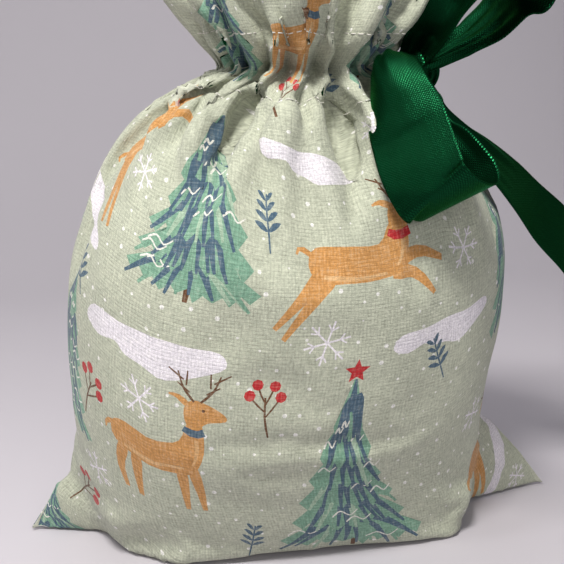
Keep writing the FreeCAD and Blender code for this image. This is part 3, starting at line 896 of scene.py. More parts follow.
def printed_triangles(shapes):
    """The cut as triangles whose edges follow the print: flat points, triangles and their colours."""
    points, edges = [], []
    wide, tall = round(2 * PANEL_HALF / GRID_STEP), round(CUT_HEIGHT / GRID_STEP)
    rim = [(PANEL_HALF * (2 * j / wide - 1), 0.0) for j in range(wide)]
    rim += [(PANEL_HALF, CUT_HEIGHT * i / tall) for i in range(tall)]
    rim += [(PANEL_HALF * (1 - 2 * j / wide), CUT_HEIGHT) for j in range(wide)]
    rim += [(-PANEL_HALF, CUT_HEIGHT * (1 - i / tall)) for i in range(tall)]
    for outline in [np.array(rim)] + [outline for _, outline in shapes]:
        first, count = len(points), len(outline)
        points += [tuple(p) for p in outline]
        edges += [(first + k, first + (k + 1) % count) for k in range(count)]
    grid_u = np.linspace(-PANEL_HALF, PANEL_HALF, wide + 1)[1:-1]
    grid_v = np.linspace(0, CUT_HEIGHT, tall + 1)[1:-1]
    points += [(u, v) for v in grid_v for u in grid_u]
    flat, _, triangles, _, _, _ = delaunay_2d_cdt([Vector(p) for p in points], edges, [], 0, 1e-4, False)
    flat = np.array([tuple(p) for p in flat])
    triangles = np.array(triangles)
    middle = flat[triangles].mean(axis=1)
    within = (np.abs(middle[:, 0]) < PANEL_HALF) & (middle[:, 1] > 0) & (middle[:, 1] < CUT_HEIGHT)
    triangles, middle = triangles[within], middle[within]
    a, b, c = (flat[triangles[:, k]] for k in range(3))
    area = np.cross(b - a, c - a)
    triangles = triangles[np.abs(area) > 1e-6]
    middle, area = middle[np.abs(area) > 1e-6], area[np.abs(area) > 1e-6]
    triangles[area < 0] = triangles[area < 0][:, ::-1]
    colours = np.zeros(len(triangles), int)
    for colour, outline in shapes:
        low, high = outline.min(axis=0), outline.max(axis=0)
        near = np.flatnonzero(((middle >= low) & (middle <= high)).all(axis=1))
        hit = near[inside_of(middle[near], outline)]
        colours[hit] = COLOURS.index(colour)
    used, renumbered = np.unique(triangles, return_inverse=True)
    return flat[used], renumbered.reshape(triangles.shape), colours


# ---- materials ----


class Nodes:
    """A material's nodes, added and linked in one call each."""

    def __init__(self, name):
        self.material = bpy.data.materials.new(name)
        self.material.use_nodes = True
        self.tree = self.material.node_tree
        self.shader = self.tree.nodes["Principled BSDF"]

    def add(self, kind, values=None, **settings):
        """One node, with its settings, and its inputs as numbers or links."""
        node = self.tree.nodes.new(kind)
        for key, value in settings.items():
            setattr(node, key, value)
        for key, value in (values or {}).items():
            self.put(node.inputs[key], value)
        return node

    def put(self, socket, value):
        """Sets a socket to a value, or links another socket to it."""
        if isinstance(value, bpy.types.NodeSocket):
            self.tree.links.new(value, socket)
        else:
            socket.default_value = value

    def math(self, operation, a, b=0.0):
        """A sum on one or two numbers."""
        return self.add("ShaderNodeMath", {0: a, 1: b}, operation=operation).outputs[0]

    def noise(self, vector, scale, detail=2.0, roughness=0.5):
        """Plain noise from 0 to 1."""
        values = {"Vector": vector, "Scale": scale, "Detail": detail, "Roughness": roughness}
        return self.add("ShaderNodeTexNoise", values).outputs["Fac"]

    def stretched(self, vector, scale):
        """A vector with each axis scaled on its own."""
        values = {"Vector": vector, "Scale": scale}
        return self.add("ShaderNodeMapping", values).outputs["Vector"]

    def mix(self, share, a, b, blend="MIX"):
        """Two colours mixed."""
        node = self.add("ShaderNodeMix", data_type="RGBA", blend_type=blend)
        self.put(node.inputs["Factor"], share)
        self.put(node.inputs["A"], a)
        self.put(node.inputs["B"], b)
        return node.outputs["Result"]

    def span(self, value, low, high, from_low=0.0, from_high=1.0):
        """A number moved from one range to another."""
        values = {"Value": value, "From Min": from_low, "From Max": from_high, "To Min": low, "To Max": high}
        return self.add("ShaderNodeMapRange", values).outputs["Result"]

    def grey(self, value):
        """A number as a colour."""
        return self.add("ShaderNodeCombineColor", {"Red": value, "Green": value, "Blue": value}).outputs[0]

    def finish(self, colour, roughness, height=None, distance=0.0002, strength=1.0, **fixed):
        """Links what varies into the shader, and sets what doesn't on its own sockets."""
        self.put(self.shader.inputs["Base Color"], colour)
        self.put(self.shader.inputs["Roughness"], roughness)
        for key, value in fixed.items():
            self.shader.inputs[key.replace("_", " ")].default_value = value
        if height is not None:
            bump = self.add("ShaderNodeBump", {"Height": height, "Distance": distance, "Strength": strength})
            self.put(self.shader.inputs["Normal"], bump.outputs["Normal"])
        return self.material


THREAD_PITCH = 0.00052  # between neighbouring threads of the cotton, in metres


def woven(nodes, uv, pitch):
    """The height of a plain weave, its parting between threads, and slubs along the threads both ways."""
    split = nodes.add("ShaderNodeSeparateXYZ", {"Vector": uv})
    wander = nodes.span(nodes.noise(uv, 90.0, 3.0), -0.00035, 0.00035)
    across = nodes.math("ADD", split.outputs["X"], wander)
    up = nodes.math("ADD", split.outputs["Y"], wander)
    rounds = [
        nodes.math("ABSOLUTE", nodes.math("SINE", nodes.math("MULTIPLY", axis, math.pi / pitch)))
        for axis in (across, up)
    ]
    waves = [
        nodes.math("MULTIPLY", nodes.math("COSINE", nodes.math("MULTIPLY", axis, math.pi / pitch)), sign)
        for axis, sign in ((up, 1.0), (across, -1.0))
    ]
    lifted = [
        nodes.math("MULTIPLY", a, nodes.math("ADD", 1.0, nodes.math("MULTIPLY", b, 0.4)))
        for a, b in zip(rounds, waves)
    ]
    height = nodes.math("MAXIMUM", *lifted)
    along = [
        nodes.noise(nodes.stretched(uv, scale), 1.0, 1.0, 0.5)
        for scale in ((0.9 / pitch, 230.0, 1.0), (230.0, 0.9 / pitch, 1.0))
    ]
    slubs = nodes.math("ADD", *along)
    return height, slubs


def uv_of(nodes):
    """The piece's own flat coordinates, in metres."""
    return nodes.add("ShaderNodeUVMap", uv_map="flat").outputs["UV"]


def printed_cotton():
    """Printed plain-weave cotton: the print sits on the threads, pale yarn shows between them, and the
    valleys between threads are darker as painted shade.
    """
    nodes = Nodes("printed_cotton")
    uv = uv_of(nodes)
    height, slubs = woven(nodes, uv, THREAD_PITCH)
    ink = nodes.add("ShaderNodeVertexColor", layer_name="print").outputs["Color"]
    blotches = nodes.span(nodes.noise(uv, 26.0, 4.0, 0.6), 0.88, 1.10, 0.3, 0.7)
    grain = nodes.span(nodes.noise(uv, 1300.0, 2.0, 0.6), 0.80, 1.20, 0.3, 0.7)
    threads = nodes.span(slubs, 0.80, 1.16, 0.6, 1.4)
    # Painted shade: the weave's valleys between threads are darkened, following the bump, and a random grain
    # is multiplied in.
    parting = nodes.math("MULTIPLY", nodes.span(height, 0.86, 1.05, 0.3, 1.3), grain)
    shade = nodes.math("MULTIPLY", nodes.math("MULTIPLY", blotches, threads), parting)
    inked = nodes.mix(1.0, ink, nodes.grey(shade), "MULTIPLY")
    bare = nodes.span(slubs, 0.0, 0.28, 0.95, 1.5)
    colour = nodes.mix(bare, inked, (0.60, 0.60, 0.50, 1.0))
    relief = nodes.math("ADD", height, nodes.math("MULTIPLY", slubs, 0.9))
    return nodes.finish(
        colour, nodes.span(slubs, 0.80, 0.95, 0.6, 1.4), relief, 0.00009, 0.9,
        Sheen_Weight=0.18, Sheen_Roughness=0.5, Specular_IOR_Level=0.25,
    )


def cotton_wrong_side():
    """The cotton's other side, where the print only just shows through."""
    nodes = Nodes("cotton_wrong_side")
    uv = uv_of(nodes)
    height, slubs = woven(nodes, uv, THREAD_PITCH)
    ink = nodes.add("ShaderNodeVertexColor", layer_name="print").outputs["Color"]
    pale = nodes.mix(0.3, (0.55, 0.56, 0.47, 1.0), ink)
    colour = nodes.mix(1.0, pale, nodes.grey(nodes.span(slubs, 0.8, 1.15, 0.6, 1.4)), "MULTIPLY")
    relief = nodes.math("ADD", height, nodes.math("MULTIPLY", slubs, 0.9))
    return nodes.finish(colour, 0.92, relief, 0.00009, 0.9, Sheen_Weight=0.15, Specular_IOR_Level=0.2)


def plain_cotton():
    """Unprinted cotton for the seam allowances inside."""
    nodes = Nodes("plain_cotton")
    uv = uv_of(nodes)
    height, slubs = woven(nodes, uv, THREAD_PITCH)
    share = nodes.span(slubs, 0.0, 1.0, 0.6, 1.4)
    colour = nodes.mix(share, (0.42, 0.44, 0.34, 1.0), (0.60, 0.61, 0.52, 1.0))
    return nodes.finish(colour, 0.92, height, 0.00009, 0.9, Specular_IOR_Level=0.2)


def cotton_thread():
    """Off-white sewing thread with a fine twist."""
    nodes = Nodes("cotton_thread")
    place = nodes.add("ShaderNodeTexCoord").outputs["Object"]
    twist = nodes.add(
        "ShaderNodeTexWave", {"Vector": place, "Scale": 1600.0, "Distortion": 1.0}, bands_direction="DIAGONAL"
    ).outputs["Fac"]
    tone = nodes.span(nodes.noise(place, 700.0), 0.88, 1.08)
    colour = nodes.mix(1.0, (0.74, 0.72, 0.66, 1.0), nodes.grey(tone), "MULTIPLY")
    return nodes.finish(colour, 0.55, twist, 0.00006, 0.7, Sheen_Weight=0.2)


RIBBON_PITCH = 0.0009  # between the diagonals of the ribbon's weave, in metres


def satin_ribbon():
    """Dark green satin: a fine diagonal weave, its grooves darkened and its ridges lightened as painted shade
    and highlight, a slight mottle, and a green gloss that stretches along it.
    """
    nodes = Nodes("satin_ribbon")
    uv = uv_of(nodes)
    split = nodes.add("ShaderNodeSeparateXYZ", {"Vector": uv})
    across, up = split.outputs["X"], split.outputs["Y"]
    ribs = [
        nodes.math("ABSOLUTE", nodes.math("SINE", nodes.math("MULTIPLY", axis, math.pi / RIBBON_PITCH)))
        for axis in (nodes.math("ADD", across, up), nodes.math("SUBTRACT", across, up))
    ]
    weave = nodes.math("MULTIPLY", *ribs)
    fibres = nodes.noise(nodes.stretched(uv, (2400.0, 90.0, 1.0)), 1.0, 2.0)
    mottle = nodes.noise(uv, 60.0, 3.0)
    # Painted shade and highlight: the colour is darker in the weave's grooves and lighter on its ridges,
    # following the bump; the fibres add random streaks along the ribbon.
    tone = nodes.math("MULTIPLY", nodes.span(fibres, 0.7, 1.3), nodes.span(weave, 0.45, 1.35, 0.0, 0.8))
    base = nodes.mix(mottle, (0.0022, 0.029, 0.010, 1.0), (0.0036, 0.044, 0.016, 1.0))
    colour = nodes.mix(1.0, base, nodes.grey(tone), "MULTIPLY")
    relief = nodes.math("ADD", weave, nodes.math("MULTIPLY", fibres, 0.8))
    rough = nodes.math("ADD", nodes.span(weave, 0.42, 0.17, 0.1, 0.8), nodes.span(mottle, 0.0, 0.07))
    return nodes.finish(
        colour, rough, relief, 0.00006, 1.0,
        Metallic=0.85, Specular_Tint=(0.10, 1.0, 0.45, 1.0), Anisotropic=0.4,
    )


def pale_paper():
    """The pale sweep that the pouch is photographed on."""
    nodes = Nodes("pale_paper")
    place = nodes.add("ShaderNodeTexCoord").outputs["Object"]
    tone = nodes.span(nodes.noise(place, 5.0, 2.0), 0.98, 1.02)
    colour = nodes.mix(1.0, (0.56, 0.53, 0.575, 1.0), nodes.grey(tone), "MULTIPLY")
    return nodes.finish(colour, 0.7, nodes.noise(place, 900.0, 2.0), 0.00005, 0.2)


MATERIALS = {
    make.__name__: make()
    for make in (printed_cotton, cotton_wrong_side, plain_cotton, cotton_thread, satin_ribbon, pale_paper)
}


# ---- pieces ----


def new_piece(name, points, faces, materials, flat=None, face_materials=None):
    """A shown object from points in millimetres, with flat coordinates in millimetres for each point."""
    mesh = bpy.data.meshes.new(name)
    mesh.from_pydata((np.asarray(points, float) * MM).tolist(), [], [[int(k) for k in f] for f in faces])
    for material in materials:
        mesh.materials.append(MATERIALS[material])
    if face_materials is not None:
        mesh.polygons.foreach_set("material_index", np.asarray(face_materials, np.int32))
    mesh.polygons.foreach_set("use_smooth", [True] * len(mesh.polygons))
    if flat is not None:
        corner = np.zeros(len(mesh.loops), int)
        mesh.loops.foreach_get("vertex_index", corner)
        layer = mesh.uv_layers.new(name="flat")
        layer.data.foreach_set("uv", (np.asarray(flat, float)[corner] * MM).astype(np.float32).ravel())
    mesh.update()
    made = bpy.data.objects.new(name, mesh)
    bpy.context.scene.collection.objects.link(made)
    return made


def across_neck(piece):
    """Bakes a piece's place and turn into its points."""
    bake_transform(piece)


FOLD_RADIUS = 0.7  # of the hem at the very top
CHANNEL_DEPTH = 1.5  # from the outside of the cloth to the middle of its facing, between the casing's rows


def hem_place(surface, u, v):
    """Places and directions for the whole cut: up the outside, over the top fold and down the inside."""
    turn = np.clip((v - PANEL_HEIGHT + FOLD_RADIUS) / (math.pi * FOLD_RADIUS), 0, 1) * math.pi
    inner = turn >= math.pi
    back_down = 2 * PANEL_HEIGHT - v + FOLD_RADIUS * (math.pi - 2)
    down = np.where(inner, back_down, np.minimum(v, PANEL_HEIGHT - FOLD_RADIUS))
    out = surface.outward(u, down)
    up = unit(surface.raw(u, down) - surface.raw(u, down - 1.0))
    base = surface.at(u, down)
    round_it = (1 - np.cos(turn))[..., None] * -out + np.sin(turn)[..., None] * up
    deeper = np.clip((UPPER_ROW - down) / 4, 0, 1) * np.clip((down - LOWER_ROW) / 4, 0, 1)
    channel = np.where(inner, deeper * (CHANNEL_DEPTH - 2 * FOLD_RADIUS), 0)
    place = base + round_it * FOLD_RADIUS - out * channel[..., None]
    facing = unit(np.cos(turn)[..., None] * out + np.sin(turn)[..., None] * up)
    return place, facing


def rim_edges(triangles):
    """The directed edges that only one triangle uses."""
    edges = np.concatenate([triangles[:, [0, 1]], triangles[:, [1, 2]], triangles[:, [2, 0]]])
    key = edges.min(axis=1) * (triangles.max() + 1) + edges.max(axis=1)
    _, where, uses = np.unique(key, return_index=True, return_counts=True)
    return edges[where[uses == 1]]


def make_panel(name, side, *nodes):
    """One printed panel, from the bottom seam to the folded-in facing, as a thin closed sheet."""
    flat, triangles, colours = printed_triangles(print_of(side))
    if side == BACK:
        flat = flat * (-1, 1)
        triangles = triangles[:, ::-1]
    place, facing = hem_place(SURFACES[side], flat[:, 0], flat[:, 1])
    count = len(flat)
    points = np.concatenate([place, place - facing * CLOTH])
    outer = triangles if side == FRONT else triangles[:, ::-1]
    edges = rim_edges(outer)
    rim = np.stack([edges[:, 1], edges[:, 0], edges[:, 0] + count, edges[:, 1] + count], -1)
    faces = [*outer, *(outer[:, ::-1] + count), *rim]
    kinds = [0] * len(outer) + [1] * len(outer) + [1] * len(rim)
    piece = new_piece(
        name, points, faces, ("printed_cotton", "cotton_wrong_side"), np.concatenate([flat, flat]), kinds
    )
    inks = np.array([(*PALETTE[c], 1.0) for c in COLOURS])
    of_face = np.concatenate([colours, colours, np.zeros(len(rim), int)])
    sizes = np.array([len(f) for f in faces])
    layer = piece.data.color_attributes.new("print", "FLOAT_COLOR", "CORNER")
    layer.data.foreach_set("color", inks[np.repeat(of_face, sizes)].astype(np.float32).ravel())
    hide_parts(*nodes)
    across_neck(piece)


THREAD_SIDES = 6


def tubes(paths, radius):
    """Points and faces of round threads along some paths."""
    sides = THREAD_SIDES
    points, faces = [], []
    turn = np.linspace(0, 2 * math.pi, sides, endpoint=False)
    for path in paths:
        path = np.asarray(path, float)
        along = unit(np.gradient(path, axis=0))
        aside = unit(np.cross(along, (0.31, 0.12, 0.94)))
        other = np.cross(along, aside)
        ring = np.cos(turn)[None, :, None] * aside[:, None] + np.sin(turn)[None, :, None] * other[:, None]
        first = len(points)
        points += list((path[:, None] + ring * radius).reshape(-1, 3))
        for i in range(len(path) - 1):
            for k in range(sides):
                a, b = first + i * sides + k, first + i * sides + (k + 1) % sides
                faces.append([a, b, b + sides, a + sides])
        faces.append([first + k for k in range(sides)][::-1])
        faces.append([first + (len(path) - 1) * sides + k for k in range(sides)])
    return points, faces


def thread_piece(name, paths, radius, *nodes):
    """Sewing thread along some paths, in place of its CAD stitches."""
    piece = new_piece(name, *tubes(paths, radius), ("cotton_thread",))
    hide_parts(*nodes)
    return piece


STITCH_PITCH, STITCH_LENGTH, THREAD_RADIUS = 3.0, 2.4, 0.18
STITCH_RISE = (-1.3, 0.7, 1.1, 1.1, 0.7, -1.3)  # one stitch's path off the cloth, in thread radii


def make_casing_stitches():
    """Straight stitches round the pouch below and above its ribbon."""
    for side, word in ((FRONT, "front"), (BACK, "back")):
        for row, v in (("lower", LOWER_ROW), ("upper", UPPER_ROW)):
            paths = []
            for u in np.arange(-PANEL_HALF + 4, PANEL_HALF - 4, STITCH_PITCH):
                along = u + np.linspace(0, STITCH_LENGTH, len(STITCH_RISE))
                rise = THREAD_RADIUS * np.array(STITCH_RISE)
                paths.append(SURFACES[side].at(along, np.full(len(along), v), rise + 0.05))
            name = f"{word}_{row}_casing_stitches"
            across_neck(thread_piece(f"{name}_thread", paths, THREAD_RADIUS, name))


def closed_faces(rows, columns):
    """The faces of two layers of points, row by row, that are joined all round."""
    wide = columns + 1
    under = rows * wide
    faces = []
    for i in range(rows - 1):
        for k in range(columns):
            a, b = i * wide + k, i * wide + k + 1
            c, d = b + wide, a + wide
            faces.append([a, b, c, d])
            faces.append([under + d, under + c, under + b, under + a])
        for k, turned in ((0, False), (columns, True)):
            a, d = i * wide + k, (i + 1) * wide + k
            quad = [a, d, under + d, under + a]
            faces.append(quad[::-1] if turned else quad)
    for i, turned in ((0, False), (rows - 1, True)):
        for k in range(columns):
            a, b = i * wide + k, i * wide + k + 1
            quad = [b, a, under + a, under + b]
            faces.append(quad[::-1] if turned else quad)
    return faces


def flat_grid(share, lengths):
    """Flat coordinates for both layers of a strip, from places across it and lengths along it."""
    flat = np.stack(np.broadcast_arrays(share[None, :], lengths[:, None]), -1).reshape(-1, 2)
    return np.concatenate([flat, flat])


def strip_mesh(centres, across, half_widths, normals, thickness, bead=0.0, columns=16, ruffle=0):
    """A closed strip along some centres, its edges bound in a bead: points, faces and flat coordinates."""
    share = np.linspace(-1, 1, columns + 1)
    step = np.r_[0, np.cumsum(np.linalg.norm(np.diff(centres, axis=0), axis=1))]
    lift = np.zeros((len(centres), columns + 1)) + ruffle
    middle = centres[:, None] + across[:, None] * (half_widths[:, None] * share)[..., None]
    middle = middle + normals[:, None] * lift[..., None]
    out = unit(np.cross(unit(np.gradient(middle, axis=0)), unit(np.gradient(middle, axis=1))))
    edge = np.clip((np.abs(share) - 0.93) / 0.04, 0, 1) * np.clip((1 - np.abs(share)) / 0.02 + 0.45, 0, 1)
    half = (thickness / 2 + bead * edge)[None, :, None]
    points = np.concatenate([(middle + out * half).reshape(-1, 3), (middle - out * half).reshape(-1, 3)])
    return points, closed_faces(len(centres), columns), flat_grid(RIBBON_WIDTH / 2 * share, step)


PLEATS = 4
PLEAT_COLUMNS = 32
RIBBON_THICKNESS, RIBBON_BEAD = 0.28, 0.16


def pleats(widths, crowns, draw):
    """How far a gathered ribbon stands off its middle, row by row, so that its cloth keeps its full width.

    Some of it curls over as one crown, and the rest lies in pleats.
    """
    share = np.linspace(-1, 1, PLEAT_COLUMNS + 1)
    spare = np.maximum(0, RIBBON_WIDTH - widths)
    curled = np.sqrt(spare * np.abs(crowns) * widths * 3 / 8) * np.sign(crowns)
    lost = np.sqrt(np.maximum(0, (RIBBON_WIDTH - spare * np.abs(crowns)) ** 2 - widths**2))
    drift = np.linspace(0, draw.uniform(-1.5, 1.5), len(widths))[:, None]
    even = np.sin(PLEATS * math.pi * share[None] + drift + draw.uniform(0, 6.3))
    uneven = np.sin(0.6 * PLEATS * math.pi * share[None] - drift + draw.uniform(0, 6.3))
    ruffled = (lost / (4 * PLEATS))[:, None] * (0.75 * even + 0.55 * uneven)
    return curled[:, None] * (1 - share**2)[None] + ruffled


def ribbon_along(name, stations, body, *nodes, rows, seed):
    """A length of ribbon through its stations.

    Each station is a place from the knot, the way that the ribbon's width runs there, how wide it is after
    gathering, and how much of its spare width curls over as one crown.
    """
    places = smooth_line([s[0] for s in stations], rows) + KNOT
    sideways = smooth_line([unit(np.array(s[1], float)) for s in stations], rows)
    widths, crowns = smooth_line([(s[2], s[3] if len(s) > 3 else 0) for s in stations], rows).T
    widths = np.minimum(widths, RIBBON_WIDTH)
    along = unit(np.gradient(places, axis=0))
    across = unit(sideways - along * (sideways * along).sum(-1, keepdims=True))
    normals = np.cross(along, across)
    ruffle = pleats(widths, np.clip(crowns, -1, 1), random.Random(seed))
    points, faces, flat = strip_mesh(
        places, across, widths / 2, normals, RIBBON_THICKNESS, RIBBON_BEAD, PLEAT_COLUMNS, ruffle
    )
    piece = new_piece(name, points, faces, ("satin_ribbon",), flat)
    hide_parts(*nodes)
    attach(piece, body)


ALLOWANCE = 10.0
ALLOWANCE_THICKNESS = 0.8
SEAM_HALF = 0.9  # from the seam's line to where the allowance starts
OVERLOCK_PITCH, OVERLOCK_RADIUS = 2.0, 0.16
TACK_RADIUS = 0.22
TACK_OFFSET = 7  # from the cinch to each bar tack, along the seam
SIDE_FROM = 46  # v where the side allowances start, above the flattened corners
BOTTOM_REACH = 54  # how far from the middle the bottom allowance goes


def seam_line(side_sign, v):
    """The side seam's places, and the way into the pouch from it."""
    u = np.full(len(v), side_sign * PANEL_HALF)
    front, back = (SURFACES[side].raw(u, v) for side in (FRONT, BACK))
    near = u - side_sign * 2
    inwards = -unit(SURFACES[FRONT].outward(near, v) + SURFACES[BACK].outward(near, v))
    return (front + back) / 2, inwards


def allowance(name, line, inwards, aside):
    """Two raw edges together inside a seam, and the overlock thread over them."""
    centres = line + inwards * (SEAM_HALF + ALLOWANCE) / 2
    half = np.full(len(line), (ALLOWANCE - SEAM_HALF) / 2)
    points, faces, flat = strip_mesh(centres, inwards, half, aside, ALLOWANCE_THICKNESS, columns=6)
    piece = new_piece(f"{name}_allowance_cloth", points, faces, ("plain_cotton",), flat)
    length = float(np.linalg.norm(np.diff(line, axis=0), axis=1).sum())
    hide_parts(f"{name}_seam_allowance")
    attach(piece, "pouch")
    near, far, rise = ALLOWANCE - 4.5, ALLOWANCE - 0.6, 0.65
    over = ((near, rise), (far, rise), (ALLOWANCE + 0.3, 0.0), (far, -rise), (near, -rise), (5.2, 0.0))
    path = []
    for k in range(2, len(line) - 2, max(1, len(line) // int(length / OVERLOCK_PITCH))):
        path += [line[k] + inwards[k] * reach + aside[k] * off for reach, off in over]
    thread = thread_piece(f"{name}_overlock", [path], OVERLOCK_RADIUS, f"{name}_seam_overlock_thread")
    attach(thread, "pouch")


def make_seams():
    """The seam allowances inside, and the bar tacks that end the gap that the ribbon comes out of."""
    v = np.linspace(SIDE_FROM, LOWER_ROW - 2, 240)
    for name, sign in (("left", -1), ("right", 1)):
        line, inwards = seam_line(sign, v)
        along = unit(np.gradient(line, axis=0))
        inwards = unit(inwards - along * (inwards * along).sum(-1, keepdims=True))
        allowance(name, line, inwards, unit(np.cross(along, inwards)))
    u = np.linspace(-BOTTOM_REACH, BOTTOM_REACH, 200)
    line = SURFACES[FRONT].raw(u, 0 * u)
    up = np.tile((0.0, 0.0, 1.0), (len(u), 1))
    allowance("bottom", line, up, np.tile((0.0, 1.0, 0.0), (len(u), 1)))
    paths = []
    for v_tack in (CINCH - TACK_OFFSET, CINCH + TACK_OFFSET):
        zigzag = [(SURFACES[(FRONT, BACK)[n % 2]], v_tack + (n - 4) * 0.35) for n in range(9)]
        paths.append([surface.at(PANEL_HALF - 2.2, height, 0.25) for surface, height in zigzag])
    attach(thread_piece("gap_bar_tacks", paths, TACK_RADIUS, "casing_gap_bar_tacks"), "pouch")


RIBBON_FACES = (-0.42, -0.54)  # how far inside the cloth's outside the channel's ribbon has its two faces


def make_ribbon_in_casing():
    """The ribbon inside its channel, following every fold."""
    rows, columns = 360, 24
    u = np.linspace(PANEL_HALF - 0.5, -PANEL_HALF + 0.5, rows)
    across = RIBBON_WIDTH / 2 * np.linspace(-1, 1, columns + 1)
    layers = []
    for lift in RIBBON_FACES:
        front = SURFACES[FRONT].at(u[:, None], CINCH + across[None], lift)
        back = SURFACES[BACK].at(u[::-1, None], CINCH + across[None], lift)
        layers.append(np.concatenate([front, back]).reshape(-1, 3))
    faces = [face[::-1] for face in closed_faces(2 * rows, columns)]
    flat = flat_grid(across, np.linspace(0, RIBBON_IN_CHANNEL, 2 * rows))
    piece = new_piece("ribbon_in_channel", np.concatenate(layers), faces, ("satin_ribbon",), flat)
    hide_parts("ribbon_in_casing")
    across_neck(piece)


# The bow. Each row is a place in millimetres from the knot's middle, the way that the ribbon's width runs
# there, how wide it is and, where it is given, how much of it curls over as one crown. The two loops' rows
# were printed by a measuring script, from where the ribbon's edges are seen and a depth chosen for each, and
# the front tail's began that way and were then changed by hand. The other rows were chosen one by one.
LOWER_LOOP = (
    ((-8, -4.5, -1), (0.60, -0.72, 0.35), 7, 0),
    ((-11, -10.5, 0), (0.49, -0.78, 0.40), 12, 0.6),
    ((-12, -14.5, -0.5), (0.49, -0.82, 0.30), 17, 0.9),
    ((-12.5, -19.5, -4.5), (0.57, -0.77, 0.29), 21, 1),
    ((-12.5, -24.5, -10), (0.62, -0.75, 0.23), 24, 1),
    ((-12, -30.5, -16), (0.70, -0.67, 0.25), 25, 1),
    ((-11, -36.5, -23.5), (0.75, -0.61, 0.28), 25, 1),
    ((-9, -41.5, -30.5), (0.69, -0.59, 0.42), 25, 0),
    ((-6.5, -43.5, -33.5), (0.67, -0.58, 0.46), 25, 0),
    ((-1.5, -41.5, -36), (0.63, -0.59, 0.51), 25, 0),
    ((3.5, -36.5, -36), (0.62, -0.61, 0.50), 25, 0),
    ((5, -30.5, -32.5), (0.63, -0.62, 0.47), 25, 0),
    ((2, -23.5, -26.5), (0.69, -0.62, 0.38), 24, 0),
    ((-1, -16.5, -21.5), (0.76, -0.62, 0.20), 21, 0),
    ((-3, -9.5, -13), (0.67, -0.75, 0.00), 16, 0),
    ((-5, -3.5, -4.5), (0.49, -0.86, 0.12), 8, 0),
)
UPPER_LOOP = (
    ((-5, -2, 1.5), (0.62, -0.78, 0.00), 7, 0),
    ((-3, -3.5, 4.5), (0.61, -0.79, -0.10), 10, 0.5),
    ((-1.5, -8, 8.5), (0.60, -0.78, -0.15), 12, 1),
    ((0, -12, 14), (0.62, -0.76, -0.20), 15, 1),
    ((3, -15, 22), (0.64, -0.74, -0.18), 18, 1),
    ((10, -16.5, 31.5), (0.58, -0.81, -0.10), 25, 0),
    ((21, -11.5, 36), (0.59, -0.80, -0.02), 25, 0),
    ((31, -5.5, 32.5), (0.61, -0.79, 0.02), 25, 0),
    ((33.5, -1.5, 26.5), (0.58, -0.79, 0.18), 25, 0),
    ((30.5, 0.5, 21), (0.58, -0.76, 0.28), 25, 0),
    ((22, 0.5, 13), (0.62, -0.77, 0.16), 23, 0),
    ((13, 0.5, 7.5), (0.71, -0.68, 0.18), 19, 0),
    ((5, -0.5, 3), (0.72, -0.67, 0.19), 14, 0),
    ((-1, -1.5, 0), (0.68, -0.72, 0.12), 8, 0),
)
FRONT_TAIL = (
    ((0, 0, -2), (-0.3, -0.66, -0.65), 7),
    ((4, -1, -8), (-0.45, -0.69, -0.57), 10),
    ((9, -1, -15), (-0.32, -0.80, -0.50), 15),
    ((16, -1, -21), (-0.32, -0.84, -0.42), 20),
    ((27, -1, -29), (-0.33, -0.84, -0.42), 24),
    ((37, 0, -38), (-0.36, -0.77, -0.50), 25),
    ((47, 2, -48), (-0.30, -0.66, -0.68), 25),
    ((58, 3, -58), (-0.25, -0.58, -0.77), 25),
    ((70, 5, -70), (-0.32, -0.54, -0.78), 25),
    ((79, 6, -79), (-0.35, -0.54, -0.76), 25),
)
BACK_TAIL = (
    ((1, 1, -2), (-0.7, 0.2, 0.6), 7),
    ((6, 11, -5), (-0.75, 0.25, 0.58), 10),
    ((11, 24, -8), (-0.8, 0.25, 0.5), 17),
    ((15, 41, -14), (-0.8, 0.25, 0.5), 23),
    ((16, 58, -25), (-0.8, 0.25, 0.5), 25),
    ((15, 72, -40), (-0.82, 0.2, 0.45), 25),
    ((13, 82, -57), (-0.86, 0.15, 0.40), 25),
)
FRONT_STRAND = (
    ((-14, 13, 0), (0.0, 0.1, 1.0), 10),
    ((-9, 8, 0), (0.0, 0.1, 1.0), 8),
    ((-6, 5, 0), (0.0, 0.3, 1.0), 7),
    ((-2, 1, 0), (0.0, 0.6, 0.8), 6),
)
BACK_STRAND = (
    ((-13, 16, 0), (0.0, -0.1, 1.0), 10),
    ((-8, 10, 0), (0.0, -0.1, 1.0), 8),
    ((-5, 7, 1), (0.0, -0.3, 1.0), 7),
    ((-2, 2, 1), (0.0, -0.6, 0.8), 6),
)
KNOT_RADIUS = 5.6
KNOT_TURNS = ((0.35, 0.0, 0.0, 12.0), (-0.6, 1.1, 0.9, 9.0))  # each band's tilts in radians, and its width


def make_knot():
    """Bands of gathered ribbon wrapped round the bow's middle."""
    for n, (tilt, turn, shrink, width) in enumerate(KNOT_TURNS):
        around = np.linspace(0.4, 0.4 + 2 * math.pi * 0.98, 13)
        radius = KNOT_RADIUS - shrink
        ring = np.stack([0 * around, np.cos(around) * radius, np.sin(around) * radius * 0.95], -1)
        axis = np.array((1.0, 0.0, 0.0))
        c, s = math.cos(tilt), math.sin(tilt)
        spin = np.array(((c, -s, 0), (s, c, 0), (0, 0, 1)))
        c, s = math.cos(turn), math.sin(turn)
        tip = np.array(((c, 0, s), (0, 1, 0), (-s, 0, c)))
        move = tip @ spin
        stations = [(move @ place, move @ axis, width) for place in ring]
        nodes = ("ribbon_knot",) if n == 0 else ()
        ribbon_along(f"bow_knot_band_{n + 1}", stations, "knot", *nodes, rows=80, seed=SEED + n)


